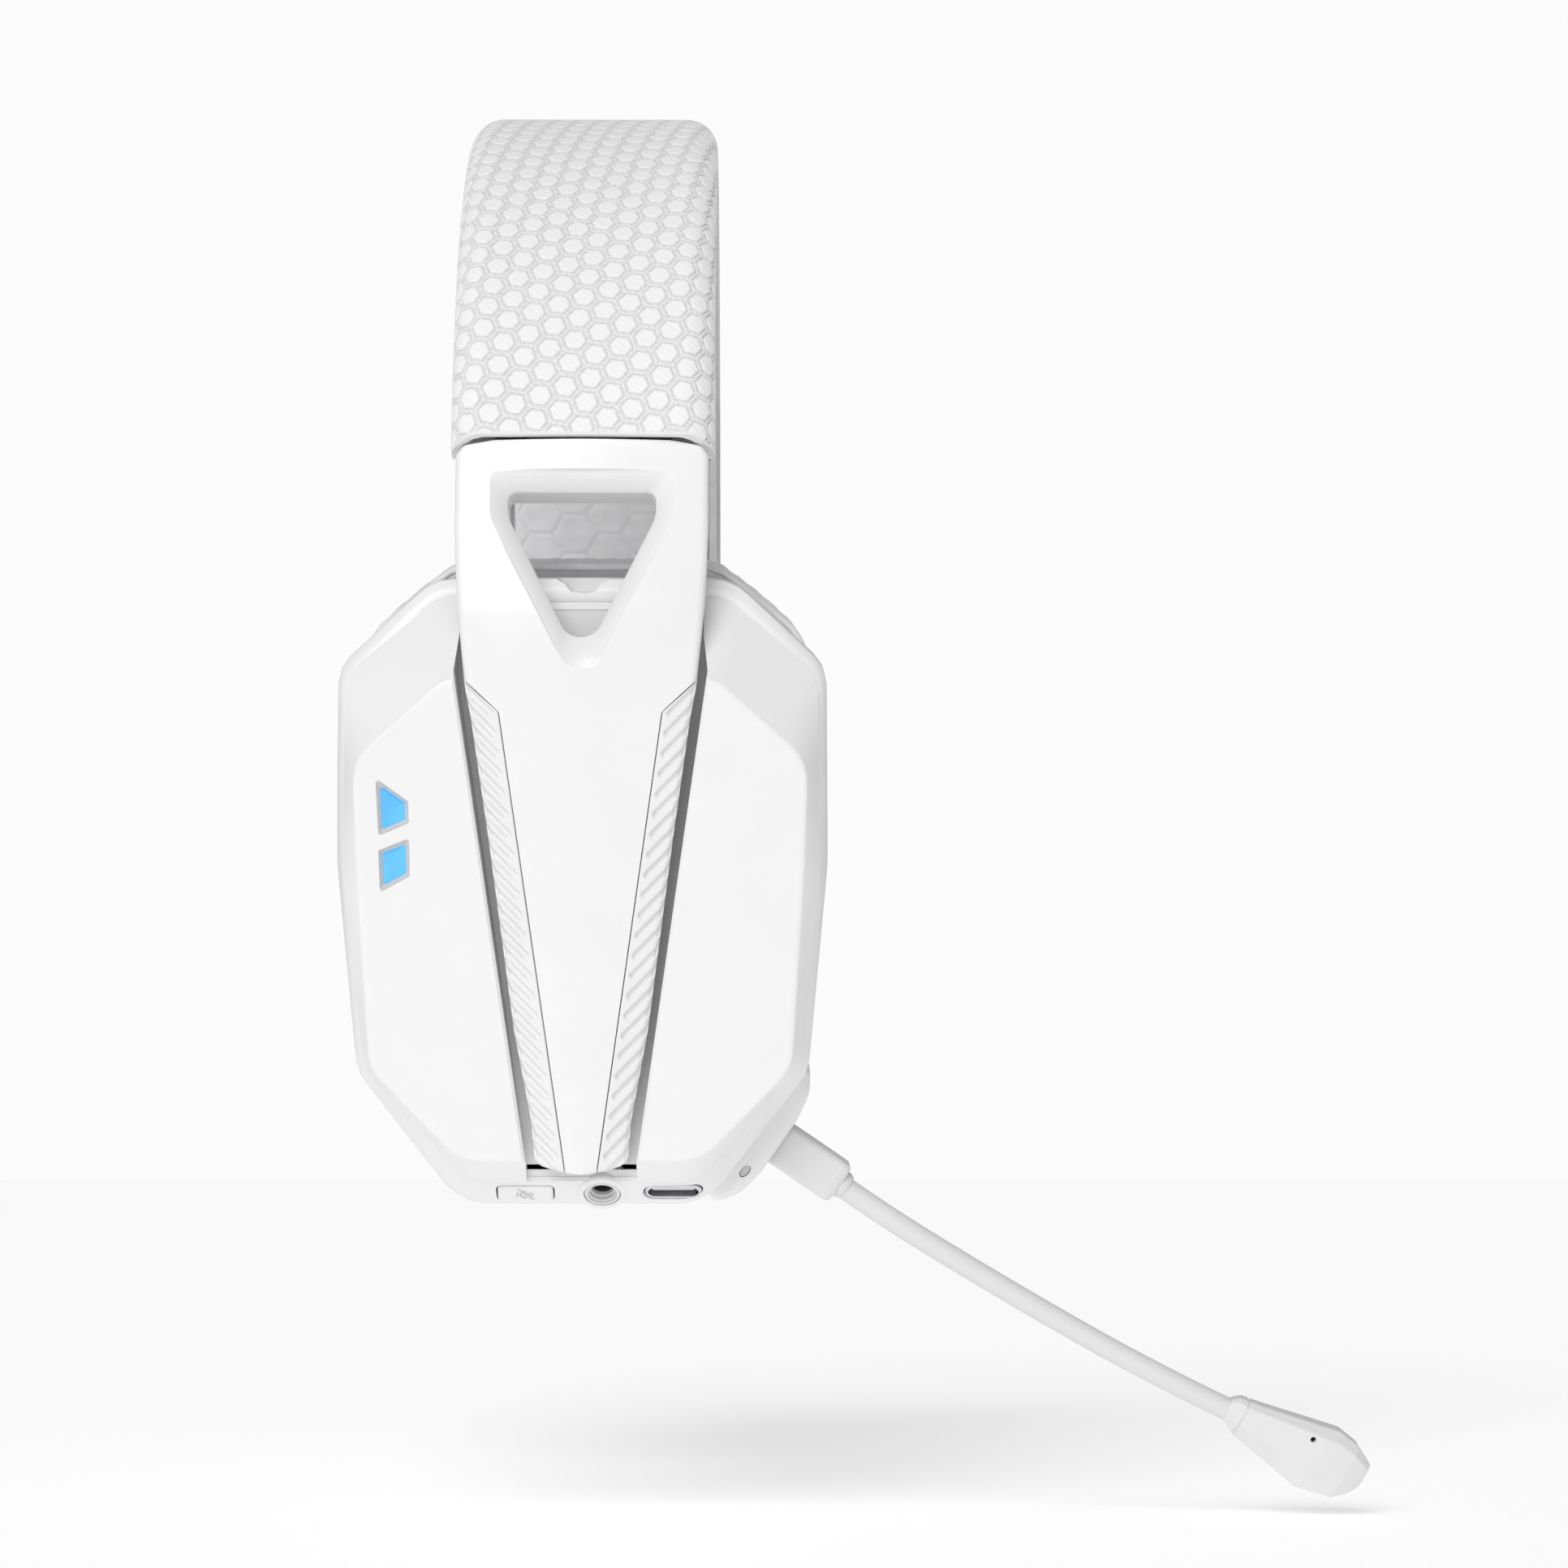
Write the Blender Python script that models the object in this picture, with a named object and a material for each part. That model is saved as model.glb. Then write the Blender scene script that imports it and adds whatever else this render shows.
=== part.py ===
"""Wireless gaming headset with a plug-in boom microphone.

The model is built in millimetres and scaled to metres when each mesh is made.
World axes: +X forwards (the way the wearer looks), +Y to the wearer's left, +Z up.
The origin is the crown of the headband pad's underside, where the headset rests on the head.
Each side has two sets of axes, both in the order (forwards, up, outwards): a neck, where the
straight slider leaves the band, and a cup, tilted so that its lower end leans in.
"""

import math

import bmesh
import bpy
from mathutils import Matrix, Vector

MM = 0.001
GAP = 0.3                    # clearance between pieces that touch

# Headband: arcs about one axis, ARCH_Z below the crown of the pad
ARCH_RADIUS = 81.0           # outside of the cover
PAD_INNER_RADIUS = 66.0
ARCH_Z = -PAD_INNER_RADIUS
BAND_END_ANGLE = 80.5        # degrees from the crown to the cover's end
BAND_HALF_WIDTH = 20.8
END_RISE = 1.1               # degrees that the cover's end rises in the middle
COVER_WALL = 1.7
COVER_DEPTH = 8.2
COVER_CORNER = 5.0
PAD_OUTER_RADII = [(52, 72.4), (58, 70.5)]   # by degrees from the crown
PAD_CORNER = 1.8
FRAME_HALF_WIDTH = 16.5
FRAME_RADII = (73.2, 75.2)
FRAME_ANGLE = 53.0
SPRING_HALF_WIDTH = 12.0
SPRING_RADII = (77.6, 78.5)
SPRING_ANGLE = 55.0
GUIDE_HALF_WIDTH = 14.0
GUIDE_INNER_RADIUS = 70.9
GUIDE_ANGLES = (57.5, 77.5)

# Sliders: a straight strip in the neck's axes, STRIP_RADIUS from the arch axis
STRIP_RADIUS = 72.0
STRIP_THICKNESS = 1.2
STRIP_HALF_WIDTH = 9.0
STRIP_INSERTION = 27.0
STRIP_END = -3.5

# Arms
ARM_NECK_RADIUS = 80.0       # outer face, in the neck's axes
ARM_HALF_WIDTH = 19.85
ARM_BOTTOM = -44.0           # in the cup's axes
ARM_FACE = 0.8               # how far the arm stands out of the face plate
WINDOW_HALF_WIDTH = 11.6
WINDOW_TOP = -6.7            # below the band's end
WINDOW_SHOULDER = -10.5
WINDOW_BOTTOM = -31.0
WINDOW_BEVEL = 2.3
INLAY_DEPTH = 1.4
NECK_SPLIT = 3.2             # thickness of the outer shell where the inner cover backs it
NECK_COVER_END = -19.5       # lower end of the inner cover, in the neck's axes
PIN_RADIUS = 1.1
LUG_SPAN = (4.7, 7.6)        # of each hinge lug, to either side
# Stations down the arm: (up, half width, thickness), in the neck's axes and then in the cup's
ARM_NECK_PARTS = [(-0.6, ARM_HALF_WIDTH, NECK_SPLIT), (-12.0, ARM_HALF_WIDTH, NECK_SPLIT),
                  (NECK_COVER_END - GAP, 19.6, NECK_SPLIT), (NECK_COVER_END - 2 * GAP, 19.6, 4.9),
                  (-30.0, 18.8, 5.2)]
ARM_CUP_PARTS = [(33.0, 17.9, 5.6), (27.8, 16.9, 5.6), (10.0, 14.3, 4.8), (-20.0, 10.4, 3.8),
                 (-37.0, 7.6, 3.1), (-41.2, 7.0, 3.0), (-43.2, 6.0, 3.0), (ARM_BOTTOM, 4.3, 3.0)]

# Cups
CUP_Y = 78.35
CUP_Z = -122.86
CUP_TILT = 8.0               # degrees
PIVOT = (0.0, -10.0, -5.9)   # cup axes
REAR_FACE = -27.0            # where the ear cushion starts
WALL = 2.0
CUSHION_BACK = -46.0
DRIVER_RADIUS = 21.5
RAYS = 40                    # points round each cup outline
# Outlines of the front half, top to bottom: (forwards, up, corner radius)
PLATE = [(21.3, 33.4, 4), (35.4, 20.9, 8), (34.9, 4, 20), (33, -27.5, 7), (18.8, -42.2, 8)]
BEVEL = [(22.5, 45.8, 8), (37.0, 33.5, 6), (37.4, 3, 30), (34.2, -28, 6), (18, -46, 8)]
RIM = [(23.5, 48.6, 8), (38.4, 34.8, 6), (38.6, 4, 30), (35.6, -29, 7), (19.5, -50.2, 9)]
CUSHION = [(21.8, 53, 6), (36.2, 41.5, 10), (39.8, 28, 10), (39.9, 0, 30), (36.5, -33, 8), (18, -53.5, 9)]
EAR_OPENING = [(21, 33, 16), (21, -33, 16)]
LENSES = {"upper": [(-31.8, 18.0), (-26.7, 14.3), (-26.6, 10.9), (-31.4, 8.8)],
          "lower": [(-31.4, 6.7), (-26.6, 8.6), (-26.5, 2.6), (-31.2, 0.0)]}

BUTTON_PLACE = -9.0          # along the strip of ports
JACK_PLACE = 3.1
USB_PLACE = 14.3
STATUS_PLACE = (25.6, -45.6)
WHEEL_PLACE = (-30.6, -20.0)

# Microphone, in the right cup's axes
MIC_DEPTH = -20.0
MIC_ANGLE = -34.5            # degrees from forwards
MIC_FACE = (31.1, -41.7)     # centre of the boss face
MIC_HALF_WIDTH = 3.5
BARREL_LENGTH = 11.8
BOOM_RADIUS = 1.85
BOOM_GAP = 2.3               # from the bend's axis to the centre of each rounded boom end
BEND = (66.5, -65.0)
BEND_ANGLE = -31.0
LOWER_POINT = (51.0, -55.5)
UPPER_POINTS = [(82.7, -74.4), (94.3, -80.6), (102.9, -84.9)]
HEAD_ANGLE = -28.0
# Bulge of the shell round the microphone: (along the microphone, to either side)
BULGE_HALF = 6.3
BULGE = [(-5.6, 12.6), (-3.2, 13.2), (-0.9, 9.8), (0.0, 6.0)]

SIDES = {"right": -1, "left": 1}

WHITE = (0.85, 0.85, 0.85)
LIGHT_GREY = (0.62, 0.62, 0.62)
FABRIC = (0.66, 0.66, 0.67)
DARK = (0.05, 0.05, 0.055)
STEEL = (0.55, 0.56, 0.58)
BLUE = (0.12, 0.5, 1.0)
BOARD = (0.02, 0.16, 0.08)


def clear_scene():
    for item in list(bpy.data.objects):
        bpy.data.objects.remove(item, do_unlink=True)


def material(name, colour, roughness, metallic=0.0):
    finish = bpy.data.materials.new(name)
    finish.use_nodes = True
    shader = finish.node_tree.nodes["Principled BSDF"]
    shader.inputs["Base Color"].default_value = (*colour, 1.0)
    shader.inputs["Roughness"].default_value = roughness
    shader.inputs["Metallic"].default_value = metallic
    return finish


# Axes

def axes(forwards, up, outwards, origin):
    columns = Matrix((forwards, up, outwards)).transposed().to_4x4()
    columns.translation = origin
    return columns


def neck_axes(side):
    angle = math.radians(BAND_END_ANGLE)
    up = Vector((0, -side * math.cos(angle), math.sin(angle)))
    outwards = Vector((0, side * math.sin(angle), math.cos(angle)))
    return axes(Vector((1, 0, 0)), up, outwards, Vector((0, 0, ARCH_Z)))


def cup_axes(side):
    tilt = math.radians(CUP_TILT)
    up = Vector((0, side * math.sin(tilt), math.cos(tilt)))
    outwards = Vector((0, side * math.cos(tilt), -math.sin(tilt)))
    return axes(Vector((1, 0, 0)), up, outwards, Vector((0, side * CUP_Y, CUP_Z)))


def slanted_axes(base, centre, along, outwards):
    """Axes set in other axes at a centre, their first axis along and their third outwards."""
    first = Vector(along).normalized()
    third = Vector(outwards).normalized()
    return base @ axes(first, third.cross(first), third, Vector(centre))


# Outlines

def rounded(corners, steps=3):
    """Closed outline through corners (x, y, radius), each rounded by an arc."""
    points = []
    count = len(corners)
    for i, (x, y, radius) in enumerate(corners):
        corner = Vector((x, y))
        if radius == 0:
            points.append(corner)
            continue
        before = (Vector(corners[i - 1][:2]) - corner).normalized()
        after = (Vector(corners[(i + 1) % count][:2]) - corner).normalized()
        half = before.angle(after) / 2
        centre = corner + (before + after).normalized() * radius / math.sin(half)
        start = corner + before * radius / math.tan(half) - centre
        sweep = start.angle_signed(corner + after * radius / math.tan(half) - centre)
        for step in range(steps + 1):
            turn = Matrix.Rotation(-sweep * step / steps, 2)
            points.append(centre + turn @ start)
    return [(p.x, p.y) for p in points]


def symmetric(half):
    """Corners of the +x half, top to bottom, followed by their mirror image."""
    return half + [(-x, y, radius) for x, y, radius in reversed(half)]


def rectangle(x0, x1, y0, y1, radius=0.0, steps=2):
    return rounded([(x0, y0, radius), (x1, y0, radius), (x1, y1, radius), (x0, y1, radius)], steps)


def circle(radius, count, centre=(0.0, 0.0)):
    turns = (2 * math.pi * i / count for i in range(count))
    return [(centre[0] + radius * math.cos(a), centre[1] + radius * math.sin(a)) for a in turns]


def polar(outline, count):
    """The outline read where evenly spaced rays from the centre cross it."""
    points = []
    for i in range(count):
        angle = 2 * math.pi * i / count
        ray = (math.cos(angle), math.sin(angle))
        reach = 0.0
        for (ax, ay), (bx, by) in zip(outline, outline[1:] + outline[:1]):
            ex, ey = bx - ax, by - ay
            cross = ray[0] * ey - ray[1] * ex
            if abs(cross) < 1e-12:
                continue
            distance = (ax * ey - ay * ex) / cross
            along = (ax * ray[1] - ay * ray[0]) / cross
            if distance > 0 and -1e-9 <= along <= 1 + 1e-9:
                reach = max(reach, distance)
        points.append((reach * ray[0], reach * ray[1]))
    return points


def inset(outline, distance):
    """Polar outline drawn in towards the centre by a distance."""
    return [(x - distance * x / math.hypot(x, y), y - distance * y / math.hypot(x, y)) for x, y in outline]


def blend(pairs, at):
    """Value read from (position, value) pairs in rising order, straight between them."""
    if at <= pairs[0][0]:
        return pairs[0][1]
    for (x0, y0), (x1, y1) in zip(pairs, pairs[1:]):
        if at <= x1:
            return y0 + (y1 - y0) * (at - x0) / (x1 - x0)
    return pairs[-1][1]


# Solids: (vertices, faces) in millimetres, in the axes they are placed with

def loft(rings, closed=False):
    """Skin over a stack of rings, capped at both ends, or joined end to end when closed."""
    count = len(rings[0])
    verts = [point for ring in rings for point in ring]
    faces = []
    for row in range(len(rings) if closed else len(rings) - 1):
        low, high = row * count, (row + 1) % len(rings) * count
        for i in range(count):
            j = (i + 1) % count
            faces.append((low + i, low + j, high + j, high + i))
    if not closed:
        faces.append(tuple(range(count)))
        faces.append(tuple(range(len(verts) - count, len(verts))))
    return verts, faces


def lifted(outline, height):
    """Outline raised to a height, or to a height that depends on y."""
    if callable(height):
        return [(x, y, height(y)) for x, y in outline]
    return [(x, y, height) for x, y in outline]


def prism(outline, low, high):
    return loft([lifted(outline, low), lifted(outline, high)])


def turned(profile, count=22):
    """Solid turned about the third axis from a closed profile of (radius, height)."""
    rings = []
    for i in range(count):
        angle = 2 * math.pi * i / count
        rings.append([(r * math.cos(angle), r * math.sin(angle), h) for r, h in profile])
    return loft(rings, closed=True)


def disc(radius, low, high, count=20):
    return prism(circle(radius, count), low, high)


def arch(section, start, end, steps, rise=0.0, rise_half=0.0):
    """Solid swept about the arch axis from a section of (x, radius), start and end in degrees from the crown.
    Both ends can stop short by rise degrees within rise_half of the middle."""
    rings = []
    for i in range(steps + 1):
        degrees = start + (end - start) * i / steps
        ring = []
        for x, r in section:
            angle = math.radians(degrees * (1 - rise / end) if abs(x) < rise_half else degrees)
            ring.append((x, r * math.sin(angle), ARCH_Z + r * math.cos(angle)))
        rings.append(ring)
    return loft(rings)


def smooth_route(points, pieces=4):
    """Points read from a smooth curve through the given ones."""
    ends = [points[0], *points, points[-1]]
    route = []
    for p0, p1, p2, p3 in zip(ends, ends[1:], ends[2:], ends[3:]):
        for i in range(pieces):
            t = i / pieces
            weights = (-t + 2 * t ** 2 - t ** 3, 2 - 5 * t ** 2 + 3 * t ** 3,
                       t + 4 * t ** 2 - 3 * t ** 3, -t ** 2 + t ** 3)
            route.append(tuple(sum(w * v for w, v in zip(weights, values)) / 2
                               for values in zip(p0, p1, p2, p3)))
    route.append(points[-1])
    return route


def boom_tube(route, radius, depth, round_start=False, round_end=False):
    """Round tube along a plane route; a round end closes with a dome."""
    stations = [(Vector(p), 1.0) for p in route]
    dome = [(math.sin(math.radians(a)), math.cos(math.radians(a))) for a in (30, 60, 80)]
    if round_start:
        away = (stations[0][0] - stations[1][0]).normalized() * radius
        stations = [(stations[0][0] + away * s, c) for s, c in reversed(dome)] + stations
    if round_end:
        away = (stations[-1][0] - stations[-2][0]).normalized() * radius
        stations += [(stations[-1][0] + away * s, c) for s, c in dome]
    rings = []
    for i, (centre, scale) in enumerate(stations):
        run = stations[min(i + 1, len(stations) - 1)][0] - stations[max(i - 1, 0)][0]
        across = Vector((-run.y, run.x)).normalized()
        ring = []
        for a, b in circle(radius * scale, 10):
            ring.append((centre.x + across.x * a, centre.y + across.y * a, depth + b))
        rings.append(ring)
    return loft(rings)


# Objects

class Group:
    """An empty on a moving body's axis, with that body's pieces under it."""

    def __init__(self, name, place=(0.0, 0.0, 0.0), parent=None):
        self.place = Vector(place)
        self.empty = bpy.data.objects.new(name, None)
        self.empty.location = self.place * MM
        bpy.context.collection.objects.link(self.empty)
        if parent:
            self.empty.parent = parent.empty
            self.empty.location = (self.place - parent.place) * MM


def solid(name, shape, base=None, group=None, finish=None):
    """Object made from a shape placed with its axes, its origin on its group's axis."""
    mesh = bpy.data.meshes.new(name)
    mesh.from_pydata(shape[0], [], shape[1])
    if base:
        mesh.transform(base)
    origin = group.place if group else Vector((0, 0, 0))
    mesh.transform(Matrix.Translation(-origin))
    mesh.transform(Matrix.Scale(MM, 4))
    edit = bmesh.new()
    edit.from_mesh(mesh)
    bmesh.ops.recalc_face_normals(edit, faces=edit.faces)
    edit.to_mesh(mesh)
    edit.free()
    mesh.shade_smooth()
    mesh.set_sharp_from_angle(angle=math.radians(35))
    if finish:
        mesh.materials.append(finish)
    item = bpy.data.objects.new(name, mesh)
    bpy.context.collection.objects.link(item)
    if group:
        item.parent = group.empty
    return item


def combine(target, other, operation):
    other.hide_render = True
    other.display_type = "WIRE"
    step = target.modifiers.new(operation.title() + "_" + other.name, "BOOLEAN")
    step.operation = operation
    step.solver = "EXACT"
    step.object = other


def cut(target, shape, base=None):
    """Takes a shape out of an object, and gives the cutter back."""
    cutter = solid(target.name + ".cutter", shape, base)
    combine(target, cutter, "DIFFERENCE")
    return cutter


def join(target, shape, base=None):
    combine(target, solid(target.name + ".extra", shape, base), "UNION")


# Headband

def band_section(half_width, outer, depth, wall, corner):
    """C-shaped section of the cover, open towards the head."""
    low = outer - depth
    skirt = outer - corner
    points = [(-half_width, low), (-half_width, skirt)]
    for step in range(1, 4):
        angle = math.radians(90 * step / 3)
        points.append((-half_width + corner * (1 - math.cos(angle)), skirt + corner * math.sin(angle)))
    points += [(-x, r) for x, r in reversed(points)]
    inner = half_width - wall
    top = outer - wall
    points += [(inner, low), (inner, top - 2.5), (inner - 2.5, top), (-inner + 2.5, top), (-inner, top - 2.5),
               (-inner, low)]
    return points


def band_block(half_width, inner, outer):
    """Rectangular section of (x, radius)."""
    return rectangle(-half_width, half_width, inner, outer)


def strip_slot():
    """Inner and outer faces of the slot that the strip slides in."""
    return STRIP_RADIUS - GAP, STRIP_RADIUS + STRIP_THICKNESS + GAP


def add_headband():
    group = Group("headband")
    end = BAND_END_ANGLE
    section = band_section(BAND_HALF_WIDTH, ARCH_RADIUS, COVER_DEPTH, COVER_WALL, COVER_CORNER)
    cover = arch(section, -end, end, 28, END_RISE, BAND_HALF_WIDTH - 4)
    solid("headband_cover", cover, None, group, material("cover_fabric", FABRIC, 0.7))

    pad_half = BAND_HALF_WIDTH - 0.6
    rings = []
    steps = 28
    for i in range(steps + 1):
        degrees = -end + 2 * end * i / steps
        angle = math.radians(degrees)
        top = blend(PAD_OUTER_RADII, abs(degrees))
        inner, flat = PAD_INNER_RADIUS, pad_half - PAD_CORNER
        section = [(-pad_half, top), (-pad_half, inner + PAD_CORNER), (-flat, inner),
                   (flat, inner), (pad_half, inner + PAD_CORNER), (pad_half, top)]
        rings.append([(x, r * math.sin(angle), ARCH_Z + r * math.cos(angle)) for x, r in section])
    solid("headband_pad", loft(rings), None, group, material("pad_fabric", FABRIC, 0.85))

    frame = band_block(FRAME_HALF_WIDTH, *FRAME_RADII)
    solid("headband_frame", arch(frame, -FRAME_ANGLE, FRAME_ANGLE, 24), None, group,
          material("frame_plastic", DARK, 0.5))
    spring = band_block(SPRING_HALF_WIDTH, *SPRING_RADII)
    solid("spring_band", arch(spring, -SPRING_ANGLE, SPRING_ANGLE, 28), None, group,
          material("spring_steel", STEEL, 0.3, 1.0))

    block = band_block(GUIDE_HALF_WIDTH, GUIDE_INNER_RADIUS, ARCH_RADIUS - COVER_WALL - 0.4)
    slot_half = STRIP_HALF_WIDTH + GAP
    slot = prism(rectangle(-slot_half, slot_half, -5.0, 45.0), *strip_slot())
    for name, side in SIDES.items():
        start, end = (side * angle for angle in GUIDE_ANGLES)
        guide = solid(name + "_slider_guide", arch(block, start, end, 8), None, group,
                      material(name + "_guide_plastic", DARK, 0.5))
        cut(guide, slot, neck_axes(side))


# Arms

def arm_stations():
    """Stations down the right arm: (half width, thickness, place of the ridge, outwards)."""
    stations = []
    for base, face, parts in ((neck_axes(-1), ARM_NECK_RADIUS, ARM_NECK_PARTS),
                              (cup_axes(-1), ARM_FACE, ARM_CUP_PARTS)):
        outwards = base.to_3x3() @ Vector((0, 0, 1))
        for up, half, thick in parts:
            stations.append((half, thick, base @ Vector((0, up, face)), outwards))
    return stations


def arm_ring(half, low, place, outwards, crown=1.2):
    """Section across the arm down to a depth below its ridge; the sides fall away from the ridge."""
    shoulder = 0.62 * half
    section = [(-half, -crown), (-shoulder, -0.45 * crown), (0.0, 0.0), (shoulder, -0.45 * crown),
               (half, -crown), (half, low), (-half, low)]
    return [(x, place.y + outwards.y * rise, place.z + outwards.z * rise) for x, rise in section]


def mirrored(shape, side):
    """A right-hand shape in world axes, mirrored for the left side."""
    return [(x, -side * y, z) for x, y, z in shape[0]], shape[1]


def window_outline(grow):
    """Three-cornered window below the band's end, in the neck's axes."""
    half = WINDOW_HALF_WIDTH + grow
    top, bottom = WINDOW_TOP + grow, WINDOW_BOTTOM - 1.75 * grow - 1.9
    shoulder = WINDOW_SHOULDER - 0.25 * grow
    return rounded([(half, top, 1.2), (half, shoulder, 1.5), (0.0, bottom, 1.8), (-half, shoulder, 1.5),
                    (-half, top, 1.2)])


def inlay_outline(hand, shrink):
    """Grip inlay beside the arm's ridge, in the cup's axes."""
    corners = [(18.4 - shrink, 33.5 - 1.5 * shrink, 0.6), (8.6 - shrink, -37.0, 1.0),
               (6.9 - shrink, -42.2 + shrink, 0.8), (2.7 + shrink, -42.0 + shrink, 0.6),
               (12.6 + shrink, 28.0 - shrink, 1.0)]
    return rounded([(hand * x, y, radius) for x, y, radius in corners], 2)


def add_arm(name, side):
    neck, cup = neck_axes(side), cup_axes(side)
    group = Group(name + "_arm", neck @ Vector((0, 0, STRIP_RADIUS)))
    white = material(name + "_arm_plastic", WHITE, 0.35)
    rings = [arm_ring(half, -thick, place, outwards) for half, thick, place, outwards in arm_stations()]
    shell = solid(name + "_arm_shell", mirrored(loft(rings), side), None, group, white)
    face = ARM_NECK_RADIUS
    opening = loft([lifted(window_outline(0.0), face - 12), lifted(window_outline(0.0), face - 3.4),
                    lifted(window_outline(WINDOW_BEVEL + 0.4), face + 0.6)])
    cut(shell, opening, neck)
    floor = ARM_FACE - INLAY_DEPTH - 0.6
    for hand, word in ((1, "_front"), (-1, "_rear")):
        cut(shell, prism(inlay_outline(hand, 0.0), floor, ARM_FACE + 3), cup)
        inlay = prism(inlay_outline(hand, GAP), floor + GAP, ARM_FACE - 0.9)
        solid(name + word + "_grip_inlay", inlay, cup, group, material(name + word + "_grip", WHITE, 0.45))

    _, up, out = PIVOT
    for hand in (1, -1):
        low, high = sorted(hand * edge for edge in LUG_SPAN)
        join(shell, prism(rectangle(low, high, up - 2.2, up + 2.2), out - 2.2, ARM_FACE - 3.4), cup)
    cut(shell, disc(PIN_RADIUS + GAP, -9, 9), pivot_axes(cup))
    solid(name + "_hinge_pin", disc(PIN_RADIUS, -7.4, 7.4, 16), pivot_axes(cup), group,
          material(name + "_pin_steel", STEEL, 0.3, 1.0))

    half = ARM_HALF_WIDTH - 0.9
    back = face - NECK_SPLIT - GAP
    plate = bar([(NECK_COVER_END, half - 0.5, back - 1.7, back),
                 (WINDOW_TOP + 1.0, half, GUIDE_INNER_RADIUS, back),
                 (-0.6, half, GUIDE_INNER_RADIUS, back)])
    inner = solid(name + "_arm_inner_cover", plate, neck, group,
                  material(name + "_inner_plastic", LIGHT_GREY, 0.5))
    cut(inner, prism(window_outline(0.0), face - 12, face), neck)
    pocket = rectangle(-STRIP_HALF_WIDTH - GAP, STRIP_HALF_WIDTH + GAP, STRIP_END - GAP, 2)
    cut(inner, prism(pocket, *strip_slot()), neck)
    strip = rectangle(-STRIP_HALF_WIDTH, STRIP_HALF_WIDTH, STRIP_END, STRIP_INSERTION, 2.0)
    solid(name + "_slider_strip", prism(strip, STRIP_RADIUS, STRIP_RADIUS + STRIP_THICKNESS), neck, group,
          material(name + "_strip_steel", STEEL, 0.35, 1.0))
    return group


# Cups

def pivot_axes(cup):
    """Axes at the hinge, their third axis along its pin."""
    return slanted_axes(cup, PIVOT, (0, 1, 0), (1, 0, 0))


def bar(stations):
    """Solid along the cup's up axis from stations (up, half width, low, high)."""
    return loft([[(-half, up, low), (half, up, low), (half, up, high), (-half, up, high)]
                 for up, half, low, high in stations])


def bevel_depth(up):
    return blend([(-46, -5.0), (0, -4.5), (20, -5.5), (33, -8.5), (46, -12.0)], up)


def rim_depth(up):
    return blend([(-50, -9.4), (-30, -8.2), (20, -8.5), (34, -10.5), (48.6, -13.2)], up)


def channel_floor(up):
    return -4.8 - 0.07 * (up + 45.0)


def lens_outline(corners, shrink):
    centre = sum((Vector(c) for c in corners), Vector((0, 0))) / len(corners)
    points = [centre + (Vector(c) - centre) * (1 - shrink / 4.0) for c in corners]
    return rounded([(p.x, p.y, 0.6) for p in points], 2)


def add_face_plate(name, cup, group):
    plate = polar(rounded(symmetric(PLATE)), RAYS)
    bevel = polar(rounded(symmetric(BEVEL)), RAYS)
    hem = inset(bevel, WALL + 1.0)
    front = loft([lifted(hem, bevel_depth), lifted(bevel, bevel_depth), lifted(plate, 0.0)])
    shell = solid(name + "_face_plate", front, cup, group, material(name + "_face_plastic", WHITE, 0.3))
    inside = inset(bevel, WALL + 0.2)
    cavity = loft([lifted(inside, -20.0), lifted(inside, lambda up: bevel_depth(up) - 0.9),
                   lifted(inset(plate, WALL + 0.4), -WALL)])
    cut(shell, cavity, cup)
    pan = [(-43.6, 9.6, -5.9, -3.4), (-41.5, 9.9, -6.1, -1.0),
           (-13.6, 14.6, channel_floor(-13.6) - 1.0, -1.0), (33.0, 20.4, channel_floor(33) - 1.0, -1.0),
           (42.2, 20.9, -11.0, -9.4)]
    join(shell, bar(pan), cup)
    _, up, out = PIVOT
    join(shell, prism(rectangle(-10, 10, up - 4.5, up + 4.5), out - 3.8, out - 1.5), cup)
    top = channel_floor(36)
    channel = [(-60.0, 8.8, channel_floor(-50), 5.0), (-41.6, 8.8, channel_floor(-41.6), 5.0),
               (36.0, 19.3, top, 5.0), (43.0, 19.6, top, 5.0),
               (44.0, 19.6, -13.0, 5.0), (60.0, 19.6, -13.0, 5.0)]
    cut(shell, bar(channel), cup)
    cut(shell, prism(rectangle(-8.6, 8.6, up - 3.4, up + 3.4), out - 2.8, 0), cup)
    for corners in LENSES.values():
        cut(shell, prism(lens_outline(corners, 0.0), -5, 3), cup)
    block = prism(rectangle(-4.3, 4.3, up - 2.2, up + 2.2, 0.6), out - 2.5, out + 1.7)
    bracket = solid(name + "_hinge_bracket", block, cup, group,
                    material(name + "_bracket_metal", STEEL, 0.4, 1.0))
    cut(bracket, disc(PIN_RADIUS + GAP, -9, 9), pivot_axes(cup))


def add_lights(name, cup, group):
    for word, corners in LENSES.items():
        lens = prism(lens_outline(corners, GAP), -2.0, -0.8)
        solid(name + "_" + word + "_light_lens", lens, cup, group, material(name + word + "_lens", BLUE, 0.2))
    board = prism(rectangle(-31.5, -26.2, -1.0, 18.0, 0.8), -4.2, -3.2)
    solid(name + "_light_board", board, cup, group, material(name + "_light_board", BOARD, 0.5))


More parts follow.
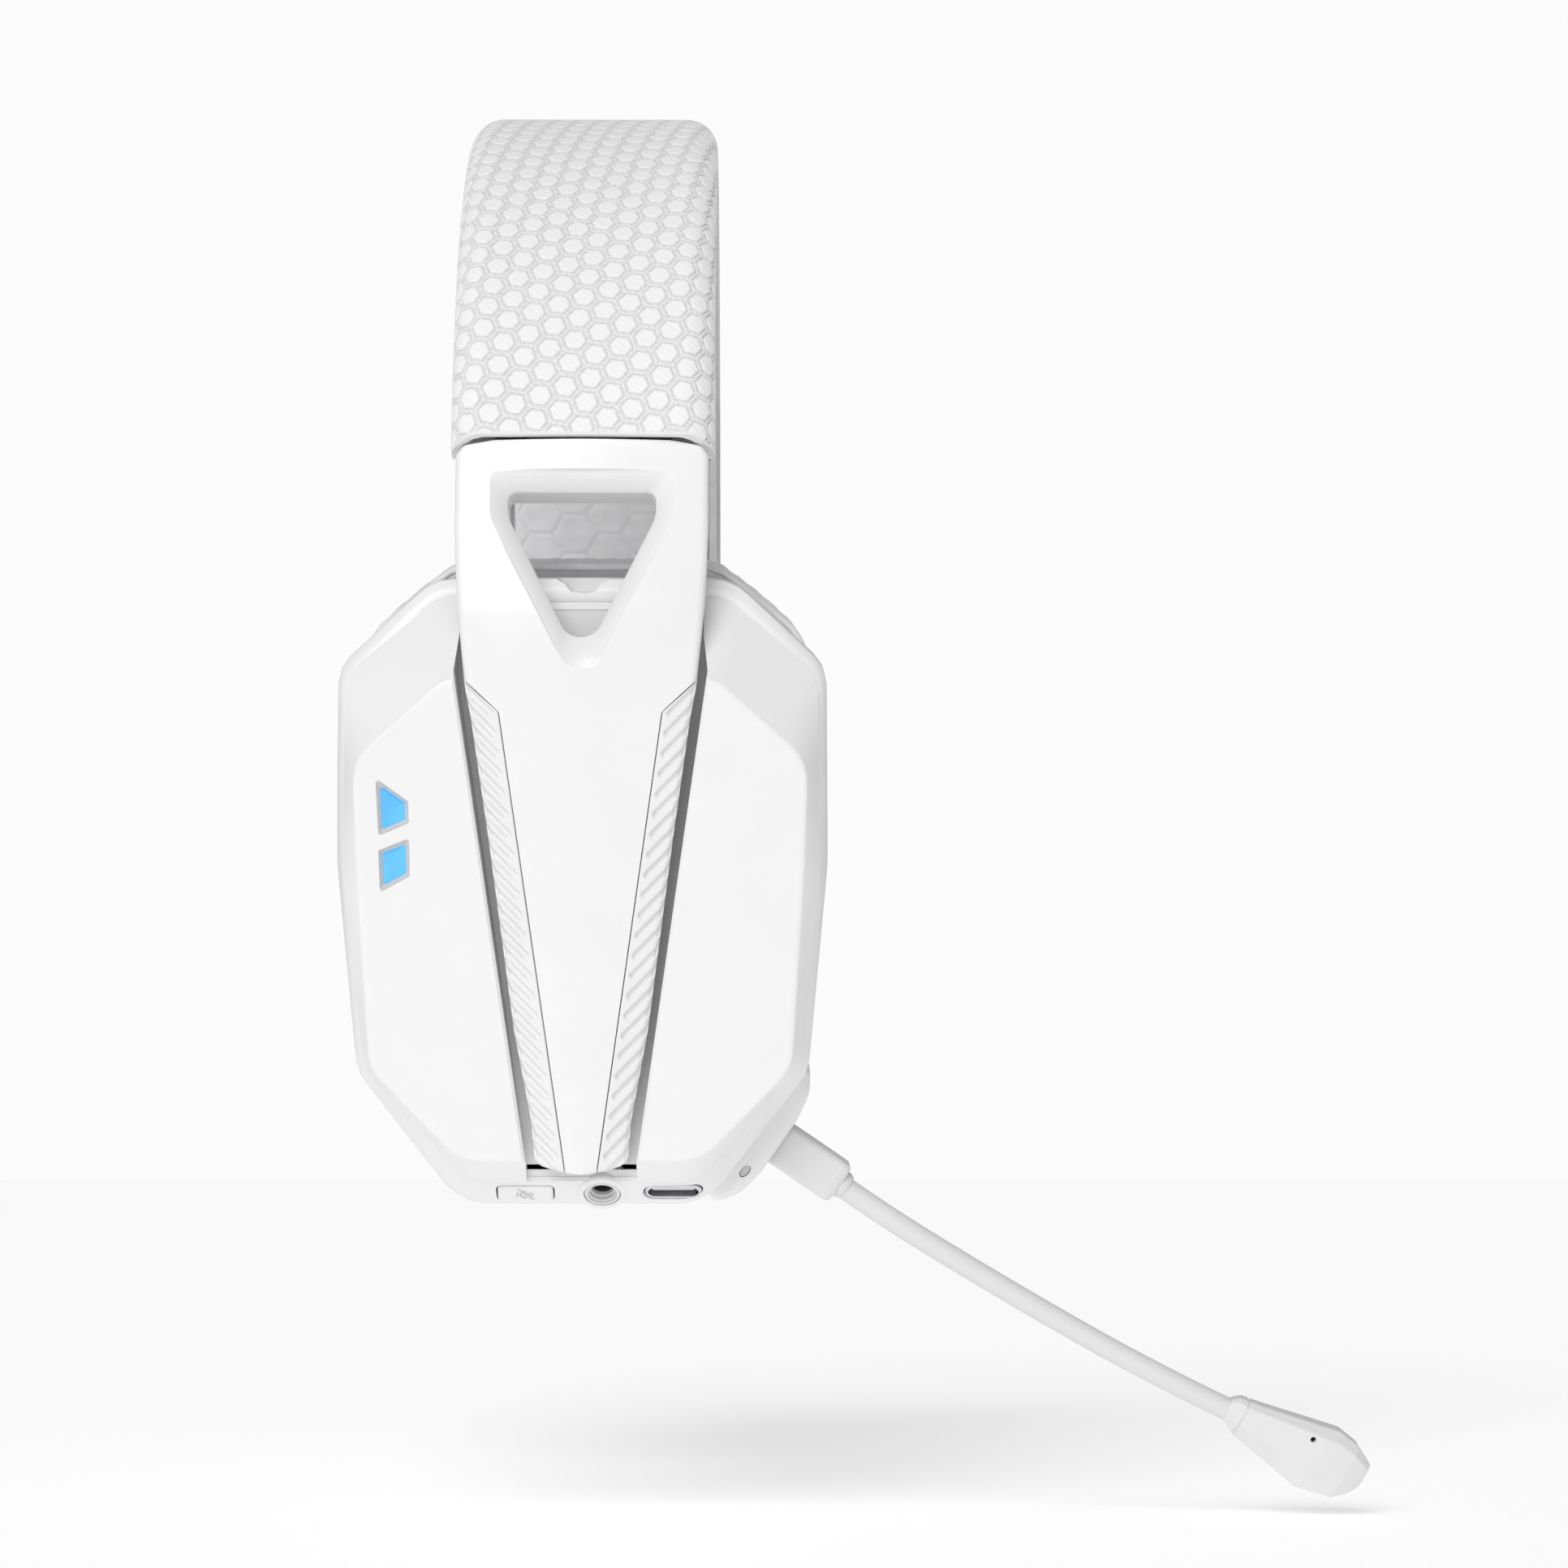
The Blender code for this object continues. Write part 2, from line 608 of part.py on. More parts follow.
def add_rear_shell(name, cup, group):
    bevel = polar(rounded(symmetric(BEVEL)), RAYS)
    rim = polar(rounded(symmetric(RIM)), RAYS)
    inside = inset(rim, WALL + 1.0)
    rings = [lifted(bevel, lambda up: bevel_depth(up) - GAP), lifted(rim, rim_depth),
             lifted(rim, REAR_FACE), lifted(inside, REAR_FACE),
             lifted(inset(bevel, WALL), lambda up: bevel_depth(up) - GAP)]
    return solid(name + "_rear_shell", loft(rings, closed=True), cup, group,
                 material(name + "_rear_plastic", WHITE, 0.35))


def add_driver(name, cup, group):
    rim = polar(rounded(symmetric(RIM)), RAYS)
    baffle = solid(name + "_baffle", prism(inset(rim, WALL + 1.4), -26.6, -24.9), cup, group,
                   material(name + "_baffle_plastic", DARK, 0.6))
    cut(baffle, disc(DRIVER_RADIUS - 2.0, -30, -20), cup)
    frame = [(DRIVER_RADIUS, -24.6), (DRIVER_RADIUS, -22.6), (12.5, -18.6), (8.6, -18.6), (8.6, -19.8),
             (12.0, -19.8), (DRIVER_RADIUS - 1.8, -23.6), (DRIVER_RADIUS - 1.8, -24.6)]
    solid(name + "_driver_frame", turned(frame), cup, group, material(name + "_driver_frame", DARK, 0.5))
    solid(name + "_driver_magnet", disc(8.2, -19.6, -14.0), cup, group,
          material(name + "_magnet", STEEL, 0.3, 1.0))
    edge = DRIVER_RADIUS - 2.4
    cone = [(edge, -24.6), (edge, -24.2), (14.0, -22.6), (8.0, -23.4),
            (0.4, -24.4), (0.4, -24.8), (8.0, -23.8), (14.0, -23.0)]
    solid(name + "_diaphragm", turned(cone), cup, group, material(name + "_diaphragm", DARK, 0.4))
    cloth = inset(polar(rounded(symmetric(EAR_OPENING)), RAYS), 0.6)
    solid(name + "_speaker_cloth", prism(cloth, -27.4, -26.9), cup, group,
          material(name + "_cloth", DARK, 0.9))


def add_cushion(name, cup, group):
    outer = polar(rounded(symmetric(CUSHION)), RAYS)
    inner = polar(rounded(symmetric(EAR_OPENING)), RAYS)
    rings = [(outer, 1.5, REAR_FACE - GAP), (outer, 0.0, -30.5), (outer, 0.0, -41.0),
             (outer, 1.6, -44.4), (outer, 5.0, CUSHION_BACK), (inner, -4.0, CUSHION_BACK),
             (inner, -1.0, -44.4), (inner, 0.0, -41.5), (inner, 0.0, REAR_FACE - GAP)]
    shape = loft([lifted(inset(outline, draw), depth) for outline, draw, depth in rings], closed=True)
    solid(name + "_ear_cushion", shape, cup, group, material(name + "_cushion", LIGHT_GREY, 0.8))


def port_axes(cup, forwards):
    """Axes on the slanted strip under the cup, their second axis up the strip."""
    return slanted_axes(cup, (forwards, -48.1, -7.25), (1, 0, 0), (0, -0.70, 0.715))


def add_button(name, shell, cup, forwards, parent, finish):
    """Push button in the slanted strip, with its own group."""
    base = port_axes(cup, forwards)
    group = Group(name + "_press", base.translation, parent)
    cut(shell, prism(rectangle(-4.75, 4.75, -2.2, 2.2, 0.9), -8, 3), base)
    solid(name, prism(rectangle(-4.4, 4.4, -1.85, 1.85, 0.7), -3.0, 0.2), base, group, finish)


def add_right_ports(shell, cup, group):
    grey = material("port_metal", STEEL, 0.3, 1.0)
    add_button("mute_button", shell, cup, BUTTON_PLACE, group, material("mute_plastic", WHITE, 0.35))
    jack = port_axes(cup, JACK_PLACE)
    cut(shell, disc(3.05, -9, 3), jack)
    socket = [(2.75, -9.0), (2.75, 0.1), (1.75, 0.1), (1.75, -8.0), (0.05, -8.0), (0.05, -9.0)]
    solid("jack_socket", turned(socket, 24), jack, group, grey)
    usb = port_axes(cup, USB_PLACE)
    cut(shell, prism(rectangle(-4.8, 4.8, -1.9, 1.9, 1.8), -8, 3), usb)
    socket = solid("usb_socket", prism(rectangle(-4.5, 4.5, -1.6, 1.6, 1.5), -7.0, -0.2), usb, group, grey)
    cut(socket, prism(rectangle(-4.1, 4.1, -1.2, 1.2, 1.1), -6.0, 1), usb)
    lens = slanted_axes(cup, (*STATUS_PLACE, MIC_DEPTH + BULGE_HALF), (1, 1, 0), (0, 0, 1))
    cut(shell, disc(1.25, -5, 3, 16), lens)
    solid("status_lens", disc(0.95, -2.0, 0.0, 16), lens, group, material("status_lens", DARK, 0.2))
    board = rounded(symmetric([(24, 22, 3), (24, -24, 3), (12, -34, 3)]))
    solid("main_board", prism(board, -12.6, -11.6), cup, group, material("main_board", BOARD, 0.5))


def add_left_controls(shell, cup, parent):
    add_button("power_button", shell, cup, BUTTON_PLACE, parent, material("power_plastic", WHITE, 0.35))
    cut(shell, prism(rectangle(-46, -22, -29.2, -10.8), -20.3, -15.7), cup)
    base = slanted_axes(cup, (*WHEEL_PLACE, -18.0), (1, 0, 0), (0, 0, 1))
    group = Group("volume_wheel_turn", base.translation, parent)
    solid("volume_wheel", turned([(8.6, -1.7), (8.6, 1.7), (1.6, 1.7), (1.6, -1.7)], 32), base, group,
          material("wheel_plastic", LIGHT_GREY, 0.4))
    encoder = [(2.9, -4.8), (2.9, -2.1), (1.25, -2.1), (1.25, 1.4), (0.05, 1.4), (0.05, -4.8)]
    solid("wheel_encoder", turned(encoder, 20), base, parent, material("encoder", DARK, 0.5))
    battery = prism(rectangle(10.5, 31.0, -18, 18, 2.0), -17.8, -13.2)
    solid("battery", battery, cup, parent, material("battery", STEEL, 0.5))


def add_cup(name, side, arm):
    cup = cup_axes(side)
    group = Group(name + "_cup", cup @ Vector(PIVOT), arm)
    add_face_plate(name, cup, group)
    add_lights(name, cup, group)
    shell = add_rear_shell(name, cup, group)
    add_driver(name, cup, group)
    add_cushion(name, cup, group)
    return group, shell, cup


# Microphone

def mic_axes(cup):
    """Axes on the boss face, their third axis along the microphone."""
    angle = math.radians(MIC_ANGLE)
    return slanted_axes(cup, (*MIC_FACE, MIC_DEPTH), (0, 0, 1), (math.cos(angle), math.sin(angle), 0))


def add_mic_socket(shell, cup, group):
    base = mic_axes(cup)
    side = slanted_axes(base, (0, 0, 0), (0, 0, 1), (1, 0, 0))
    outline = BULGE + [(along, -across) for along, across in reversed(BULGE)]
    join(shell, prism(outline, -BULGE_HALF, BULGE_HALF), side)
    join(shell, prism(rectangle(-4.4, 4.4, -5.0, 5.0, 1.0), -10, -1), base)
    cut(shell, prism(rectangle(-3.4, 3.4, -3.9, 3.9, 1.0), -14, 2), base)
    socket = solid("mic_socket", prism(rectangle(-3.0, 3.0, -3.5, 3.5, 0.5), -16, -8.6), base, group,
                   material("mic_socket", DARK, 0.5))
    cut(socket, disc(1.6, -15, 0, 20), base)


def add_microphone(cup, parent):
    base = mic_axes(cup)
    group = Group("mic_plug", base.translation, parent)
    grey = material("mic_plastic", LIGHT_GREY, 0.4)
    barrel = rectangle(-3.0, 3.0, -MIC_HALF_WIDTH, MIC_HALF_WIDTH, 1.0)
    tip = rectangle(-2.5, 2.5, -MIC_HALF_WIDTH + 0.6, MIC_HALF_WIDTH - 0.6, 0.9)
    shape = loft([lifted(barrel, -7.0), lifted(barrel, BARREL_LENGTH - 1.0), lifted(tip, BARREL_LENGTH)])
    solid("mic_barrel", shape, base, group, grey)
    solid("mic_plug_pin", disc(1.25, -14.0, -7.3, 18), base, group, material("pin_metal", STEEL, 0.3, 1.0))

    bend = Vector(BEND)
    run = Vector((math.cos(math.radians(BEND_ANGLE)), math.sin(math.radians(BEND_ANGLE))))
    angle = math.radians(MIC_ANGLE)
    start = Vector(MIC_FACE) + Vector((math.cos(angle), math.sin(angle))) * (BARREL_LENGTH + GAP)
    lower = smooth_route([start, Vector(LOWER_POINT), bend - run * BOOM_GAP])
    solid("mic_boom_lower", boom_tube(lower, BOOM_RADIUS, MIC_DEPTH, round_end=True), cup, group,
          material("boom_lower", LIGHT_GREY, 0.5))
    tip_group = Group("mic_boom_bend", cup @ Vector((*BEND, MIC_DEPTH)), group)
    upper = smooth_route([bend + run * BOOM_GAP, *(Vector(p) for p in UPPER_POINTS)])
    solid("mic_boom_upper", boom_tube(upper, BOOM_RADIUS, MIC_DEPTH, round_start=True), cup, tip_group,
          material("boom_upper", LIGHT_GREY, 0.5))
    add_mic_head(cup, tip_group, grey)


def add_mic_head(cup, group, finish):
    angle = math.radians(HEAD_ANGLE)
    run = (math.cos(angle), math.sin(angle), 0)
    last = Vector(UPPER_POINTS[-1])
    base = slanted_axes(cup, (last.x + GAP * run[0], last.y + GAP * run[1], MIC_DEPTH), (0, 0, 1), run)
    stations = [(0.0, 2.3, 2.3), (1.5, 2.9, 2.9), (4.0, 3.3, 3.4), (9.0, 3.9, 4.9), (14.0, 3.9, 5.5),
                (20.5, 3.9, 5.0), (24.4, 2.8, 2.7)]
    rings = [lifted(rectangle(-a, a, -b, b, 0.4 * a), at) for at, a, b in stations]
    head = solid("mic_head", loft(rings), base, group, finish)
    side = slanted_axes(base, (0, -1.5, 14.0), (0, 0, 1), (1, 0, 0))
    cut(head, disc(3.1, -1.2, 6.0, 24), side)
    solid("mic_capsule", disc(2.7, -0.9, 1.9, 24), side, group, material("capsule", DARK, 0.4))
    cover = solid("mic_head_cover", disc(2.8, 2.2, 3.8, 24), side, group, finish)
    cut(cover, disc(0.5, 1, 6, 12), side)


def build():
    clear_scene()
    add_headband()
    for name, side in SIDES.items():
        arm = add_arm(name, side)
        group, shell, cup = add_cup(name, side, arm)
        if name == "right":
            add_mic_socket(shell, cup, group)
            add_right_ports(shell, cup, group)
            add_microphone(cup, group)
        else:
            add_left_controls(shell, cup, group)


build()
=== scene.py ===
"""Looks of the wireless gaming headset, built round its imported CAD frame.

Shapes are made in millimetres, in the CAD's own axes: world axes for the headband,
(forwards, up, outwards) axes for each neck and each cup, and axes along the microphone.
"""

import math

import bmesh
import bpy
import numpy as np
from mathutils import Matrix, Vector


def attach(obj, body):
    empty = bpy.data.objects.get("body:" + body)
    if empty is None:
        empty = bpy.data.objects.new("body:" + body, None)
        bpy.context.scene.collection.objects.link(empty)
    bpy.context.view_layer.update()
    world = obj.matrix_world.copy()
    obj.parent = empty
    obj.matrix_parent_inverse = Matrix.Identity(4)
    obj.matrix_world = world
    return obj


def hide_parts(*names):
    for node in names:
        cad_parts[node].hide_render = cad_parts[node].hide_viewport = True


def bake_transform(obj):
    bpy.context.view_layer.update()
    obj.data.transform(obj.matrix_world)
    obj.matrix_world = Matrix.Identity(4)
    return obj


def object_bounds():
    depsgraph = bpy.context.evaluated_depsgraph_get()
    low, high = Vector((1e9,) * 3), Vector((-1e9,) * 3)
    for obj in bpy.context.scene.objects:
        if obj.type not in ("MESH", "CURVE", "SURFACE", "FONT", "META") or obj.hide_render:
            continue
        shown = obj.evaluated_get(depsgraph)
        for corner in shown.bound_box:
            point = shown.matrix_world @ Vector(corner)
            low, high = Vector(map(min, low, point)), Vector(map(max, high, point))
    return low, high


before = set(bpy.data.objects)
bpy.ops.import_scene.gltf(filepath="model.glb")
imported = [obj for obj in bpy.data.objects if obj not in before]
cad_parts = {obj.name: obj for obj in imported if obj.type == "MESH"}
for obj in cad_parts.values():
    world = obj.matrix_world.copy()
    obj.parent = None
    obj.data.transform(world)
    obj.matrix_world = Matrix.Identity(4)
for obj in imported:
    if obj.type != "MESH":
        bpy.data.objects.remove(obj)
CAD_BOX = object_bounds()

MM = 0.001
SIDES = {"right": -1, "left": 1}
ARCH_RADIUS = 81.0
ARCH_Z = -66.0
BAND_END_ANGLE = 80.5
BAND_HALF_WIDTH = 20.8
COVER_LOW = 72.9             # radius of the cover's lower edge
COVER_WALL = 1.5
COVER_CORNER = 5.2
COVER_CELL = 0.22            # spacing of the points across the cover
HEX_PITCH = 4.25
PAD_INNER_RADIUS = 66.0
QUILT_PITCH = 7.4
CUP_Y = 78.35
CUP_Z = -122.86
CUP_TILT = 8.0
ARM_NECK_RADIUS = 80.0
ARM_FACE = 0.8
REAR_FACE = -27.0
MIC_DEPTH = -20.0
RAYS = 144
PLATE = [(21.3, 33.4, 4), (35.4, 20.9, 8), (34.9, 4, 20), (33, -27.5, 7), (18.8, -42.2, 8)]
BEVEL = [(22.5, 45.8, 8), (37.0, 33.5, 6), (37.4, 3, 30), (34.2, -28, 6), (18, -46, 8)]
RIM = [(23.5, 48.6, 8), (38.4, 34.8, 6), (38.6, 4, 30), (35.6, -29, 7), (19.5, -50.2, 9)]
CUSHION = [(21.8, 53, 6), (36.2, 41.5, 10), (39.8, 28, 10), (39.9, 0, 30), (36.5, -33, 8), (18, -53.5, 9)]
EAR_OPENING = [(21, 33, 16), (21, -33, 16)]
CUSHION_HALVES = (40.0, 53.0)
CUSHION_LIMITS = (-46.0, -27.35)
CHANNEL = [(19.3, 60, 0), (19.1, 40.0, 1.5), (19.75, 34.6, 3.0), (8.65, -42.6, 0.5), (8.9, -70, 0)]
CHANNEL_LIP = [(19.7, 60, 0), (19.5, 40.0, 1.5), (20.2, 34.8, 3.0), (9.1, -43.0, 0.5), (9.4, -70, 0)]
SEAM_GAP = 0.12              # between the face plate and the rear shell
PORT_PLACES = {"button": -9.0, "jack": 3.1, "usb": 14.3}
STATUS_PLACE = (25.6, -45.6)
WHEEL_PLACE = (-30.6, -20.0, -18.0)
WHEEL_RADIUS = 8.6
WHEEL_TEETH = 48
MIC_PLACE = (31.1, -41.7)
MIC_ANGLE = -34.5
BULGE_HALF = 6.3
LENSES = {"upper": [(-31.8, 18.0), (-26.7, 14.3), (-26.6, 10.9), (-31.4, 8.8)],
          "lower": [(-31.4, 6.7), (-26.6, 8.6), (-26.5, 2.6), (-31.2, 0.0)]}


# Axes

def axes(forwards, up, outwards, origin):
    columns = Matrix((forwards, up, outwards)).transposed().to_4x4()
    columns.translation = origin
    return columns


def neck_axes(side):
    angle = math.radians(BAND_END_ANGLE)
    up = Vector((0, -side * math.cos(angle), math.sin(angle)))
    outwards = Vector((0, side * math.sin(angle), math.cos(angle)))
    return axes(Vector((1, 0, 0)), up, outwards, Vector((0, 0, ARCH_Z)))


def cup_axes(side):
    tilt = math.radians(CUP_TILT)
    up = Vector((0, side * math.sin(tilt), math.cos(tilt)))
    outwards = Vector((0, side * math.cos(tilt), -math.sin(tilt)))
    return axes(Vector((1, 0, 0)), up, outwards, Vector((0, side * CUP_Y, CUP_Z)))


def slanted_axes(base, centre, along, outwards):
    first = Vector(along).normalized()
    third = Vector(outwards).normalized()
    return base @ axes(first, third.cross(first), third, Vector(centre))


# Outlines

def rounded(corners, steps=8):
    """Closed outline through corners (x, y, radius), each rounded by an arc."""
    points = []
    count = len(corners)
    for i, (x, y, radius) in enumerate(corners):
        corner = Vector((x, y))
        if radius == 0:
            points.append(corner)
            continue
        before = (Vector(corners[i - 1][:2]) - corner).normalized()
        after = (Vector(corners[(i + 1) % count][:2]) - corner).normalized()
        half = before.angle(after) / 2
        centre = corner + (before + after).normalized() * radius / math.sin(half)
        start = corner + before * radius / math.tan(half) - centre
        sweep = start.angle_signed(corner + after * radius / math.tan(half) - centre)
        for step in range(steps + 1):
            turn = Matrix.Rotation(-sweep * step / steps, 2)
            points.append(centre + turn @ start)
    return [(p.x, p.y) for p in points]


def chamfered(corners, cut):
    """Closed outline whose corners are each cut off at the same distance."""
    points = []
    for i, corner in enumerate(corners):
        spot = Vector(corner[:2])
        for other in (corners[i - 1], corners[(i + 1) % len(corners)]):
            points.append(spot + (Vector(other[:2]) - spot).normalized() * cut)
    return [(p.x, p.y) for p in points]


def symmetric(half):
    """Closed outline from the corners of its right half."""
    return rounded(half + [(-x, y, radius) for x, y, radius in reversed(half)])


def rectangle(x0, x1, y0, y1, radius=0.0, steps=6):
    return rounded([(x0, y0, radius), (x1, y0, radius), (x1, y1, radius), (x0, y1, radius)], steps)


def box(x, y, radius=0.0, steps=6):
    """Rounded rectangle about the origin, from its half sizes."""
    return rectangle(-x, x, -y, y, radius, steps)


def circle(radius, count):
    turns = (2 * math.pi * i / count for i in range(count))
    return [(radius * math.cos(a), radius * math.sin(a)) for a in turns]


def polar(half_outline, count=RAYS):
    """A symmetric outline read where evenly spaced rays from the centre cross it."""
    outline = symmetric(half_outline)
    starts = np.array(outline)
    edges = np.roll(starts, -1, axis=0) - starts
    points = []
    for ray in circle(1.0, count):
        cross = ray[0] * edges[:, 1] - ray[1] * edges[:, 0]
        cross = np.where(np.abs(cross) < 1e-12, 1e-12, cross)
        distance = (starts[:, 0] * edges[:, 1] - starts[:, 1] * edges[:, 0]) / cross
        along = (starts[:, 0] * ray[1] - starts[:, 1] * ray[0]) / cross
        hit = (distance > 0) & (along >= -1e-9) & (along <= 1 + 1e-9)
        reach = distance[hit].max()
        points.append((reach * ray[0], reach * ray[1]))
    return points


def inset(outline, distance):
    return [(x - distance * x / math.hypot(x, y), y - distance * y / math.hypot(x, y)) for x, y in outline]


def between(first, second, share):
    return [tuple(a + (b - a) * share for a, b in zip(p, q)) for p, q in zip(first, second)]


def blend(pairs, at):
    return float(np.interp(at, [p[0] for p in pairs], [p[1] for p in pairs]))


def smooth_route(points, pieces=6):
    """Points read from a smooth curve through the given ones."""
    ends = [points[0], *points, points[-1]]
    route = []
    for p0, p1, p2, p3 in zip(ends, ends[1:], ends[2:], ends[3:]):
        for i in range(pieces):
            t = i / pieces
            weights = (-t + 2 * t ** 2 - t ** 3, 2 - 5 * t ** 2 + 3 * t ** 3,
                       t + 4 * t ** 2 - 3 * t ** 3, -t ** 2 + t ** 3)
            route.append(tuple(sum(w * v for w, v in zip(weights, values)) / 2
                               for values in zip(p0, p1, p2, p3)))
    route.append(tuple(points[-1]))
    return route


def moved(points, matrix):
    """Array of points taken through a matrix."""
    matrix = np.array(matrix)
    return points @ matrix[:3, :3].T + matrix[:3, 3]


# Shapes: (vertices, faces) in millimetres

def loft(rings, closed=False):
    """Skin over a stack of rings, capped at both ends, or joined end to end when closed."""
    count = len(rings[0])
    verts = [point for ring in rings for point in ring]
    faces = []
    for row in range(len(rings) if closed else len(rings) - 1):
        low, high = row * count, (row + 1) % len(rings) * count
        for i in range(count):
            j = (i + 1) % count
            faces.append((low + i, low + j, high + j, high + i))
    if not closed:
        faces.append(tuple(range(count)))
        faces.append(tuple(range(len(verts) - count, len(verts))))
    return verts, faces


def lifted(outline, height):
    """Outline raised to a height, or to a height that depends on y."""
    if callable(height):
        return [(x, y, height(y)) for x, y in outline]
    return [(x, y, height) for x, y in outline]


def drawn(outline, *levels):
    """Rings of an outline drawn in by a distance at a height, for (distance, height) pairs."""
    return [lifted(inset(outline, distance), height) for distance, height in levels]


def stack(*levels, closed=False):
    """Loft through (outline, height) pairs."""
    return loft([lifted(outline, height) for outline, height in levels], closed)


def prism(outline, low, high):
    return stack((outline, low), (outline, high))


def pillow(outline, low, high, edge):
    """Prism on a box whose top edge is rounded by a quarter circle."""
    levels = [(outline, low)]
    for turn in np.radians([0, 22.5, 45, 67.5, 90]).tolist():
        levels.append((inset_box(outline, edge * (1 - math.cos(turn))), high - edge * (1 - math.sin(turn))))
    return stack(*levels)


def turned(profile, count=48):
    """Ring made by turning a closed profile of (radius, height) about the axis."""
    rings = []
    for x, y in circle(1.0, count):
        rings.append([(r * x, r * y, h) for r, h in profile])
    return loft(rings, closed=True)


def spindle(levels, count=32):
    """Round solid through (radius, height) pairs, capped at both ends."""
    return stack(*[(circle(radius, count), height) for radius, height in levels])


def disc(radius, low, high):
    return spindle(((radius, low), (radius, high)), 40)


def together(*shapes):
    verts, faces = [], []
    for more_verts, more_faces in shapes:
        start = len(verts)
        verts += list(more_verts)
        faces += [tuple(start + i for i in face) for face in more_faces]
    return verts, faces


def slab(top, bottom):
    """Closed solid between two grids of points of the same size, each rows by columns by 3."""
    rows, columns = top.shape[:2]
    verts = np.concatenate([top.reshape(-1, 3), bottom.reshape(-1, 3)]).tolist()
    index = np.arange(rows * columns).reshape(rows, columns)
    quads = np.stack([index[:-1, :-1], index[:-1, 1:], index[1:, 1:], index[1:, :-1]], axis=-1)
    upper = quads.reshape(-1, 4).tolist()
    size = rows * columns
    faces = upper + [tuple(size + i for i in reversed(face)) for face in upper]
    edge = list(range(columns)) + [r * columns + columns - 1 for r in range(1, rows)]
    edge += [size - 1 - i for i in range(1, columns)] + [r * columns for r in range(rows - 2, 0, -1)]
    for a, b in zip(edge, edge[1:] + edge[:1]):
        faces.append((b, a, size + a, size + b))
    return verts, faces


# Objects

def in_scene(name, data):
    item = bpy.data.objects.new(name, data)
    bpy.context.scene.collection.objects.link(item)
    return item


def piece(name, shape, base=None, finish=None, sharp=35.0):
    """Object made from a shape placed with its axes."""
    mesh = bpy.data.meshes.new(name)
    mesh.from_pydata(shape[0], [], shape[1])
    if base:
        mesh.transform(base)
    mesh.transform(Matrix.Scale(MM, 4))
    edit = bmesh.new()
    edit.from_mesh(mesh)
    bmesh.ops.recalc_face_normals(edit, faces=edit.faces)
    edit.to_mesh(mesh)
    edit.free()
    mesh.shade_smooth()
    mesh.set_sharp_from_angle(angle=math.radians(sharp))
    if finish:
        mesh.materials.append(finish)
    return in_scene(name, mesh)


def settle(item, sharp=35.0):
    """Applies an object's modifiers and removes its cutters."""
    others = [step.object for step in item.modifiers if step.type == "BOOLEAN"]
    bpy.context.view_layer.update()
    evaluated = item.evaluated_get(bpy.context.evaluated_depsgraph_get())
    mesh = bpy.data.meshes.new_from_object(evaluated)
    item.modifiers.clear()
    item.data = mesh
    mesh.shade_smooth()
    mesh.set_sharp_from_angle(angle=math.radians(sharp))
    for other in others:
        bpy.data.objects.remove(other, do_unlink=True)


def carve(item, shape, base=None, operation="DIFFERENCE"):
    other = piece(item.name + ".tool", shape, base)
    other.hide_render = True
    step = item.modifiers.new(operation.title(), "BOOLEAN")
    step.operation = operation
    step.solver = "EXACT"
    step.object = other


def place(item, body, slot, *nodes):
    """Sets the body that a piece rides on and hides the CAD nodes that it stands for; the slot argument is
    not used.
    """
    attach(item, body)
    if nodes:
        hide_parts(*nodes)


def add(name, shape, base, finish, sharp, body, slot, *nodes):
    """Makes a piece and places it."""
    place(piece(name, shape, base, finish, sharp), body, slot, *nodes)


# Materials

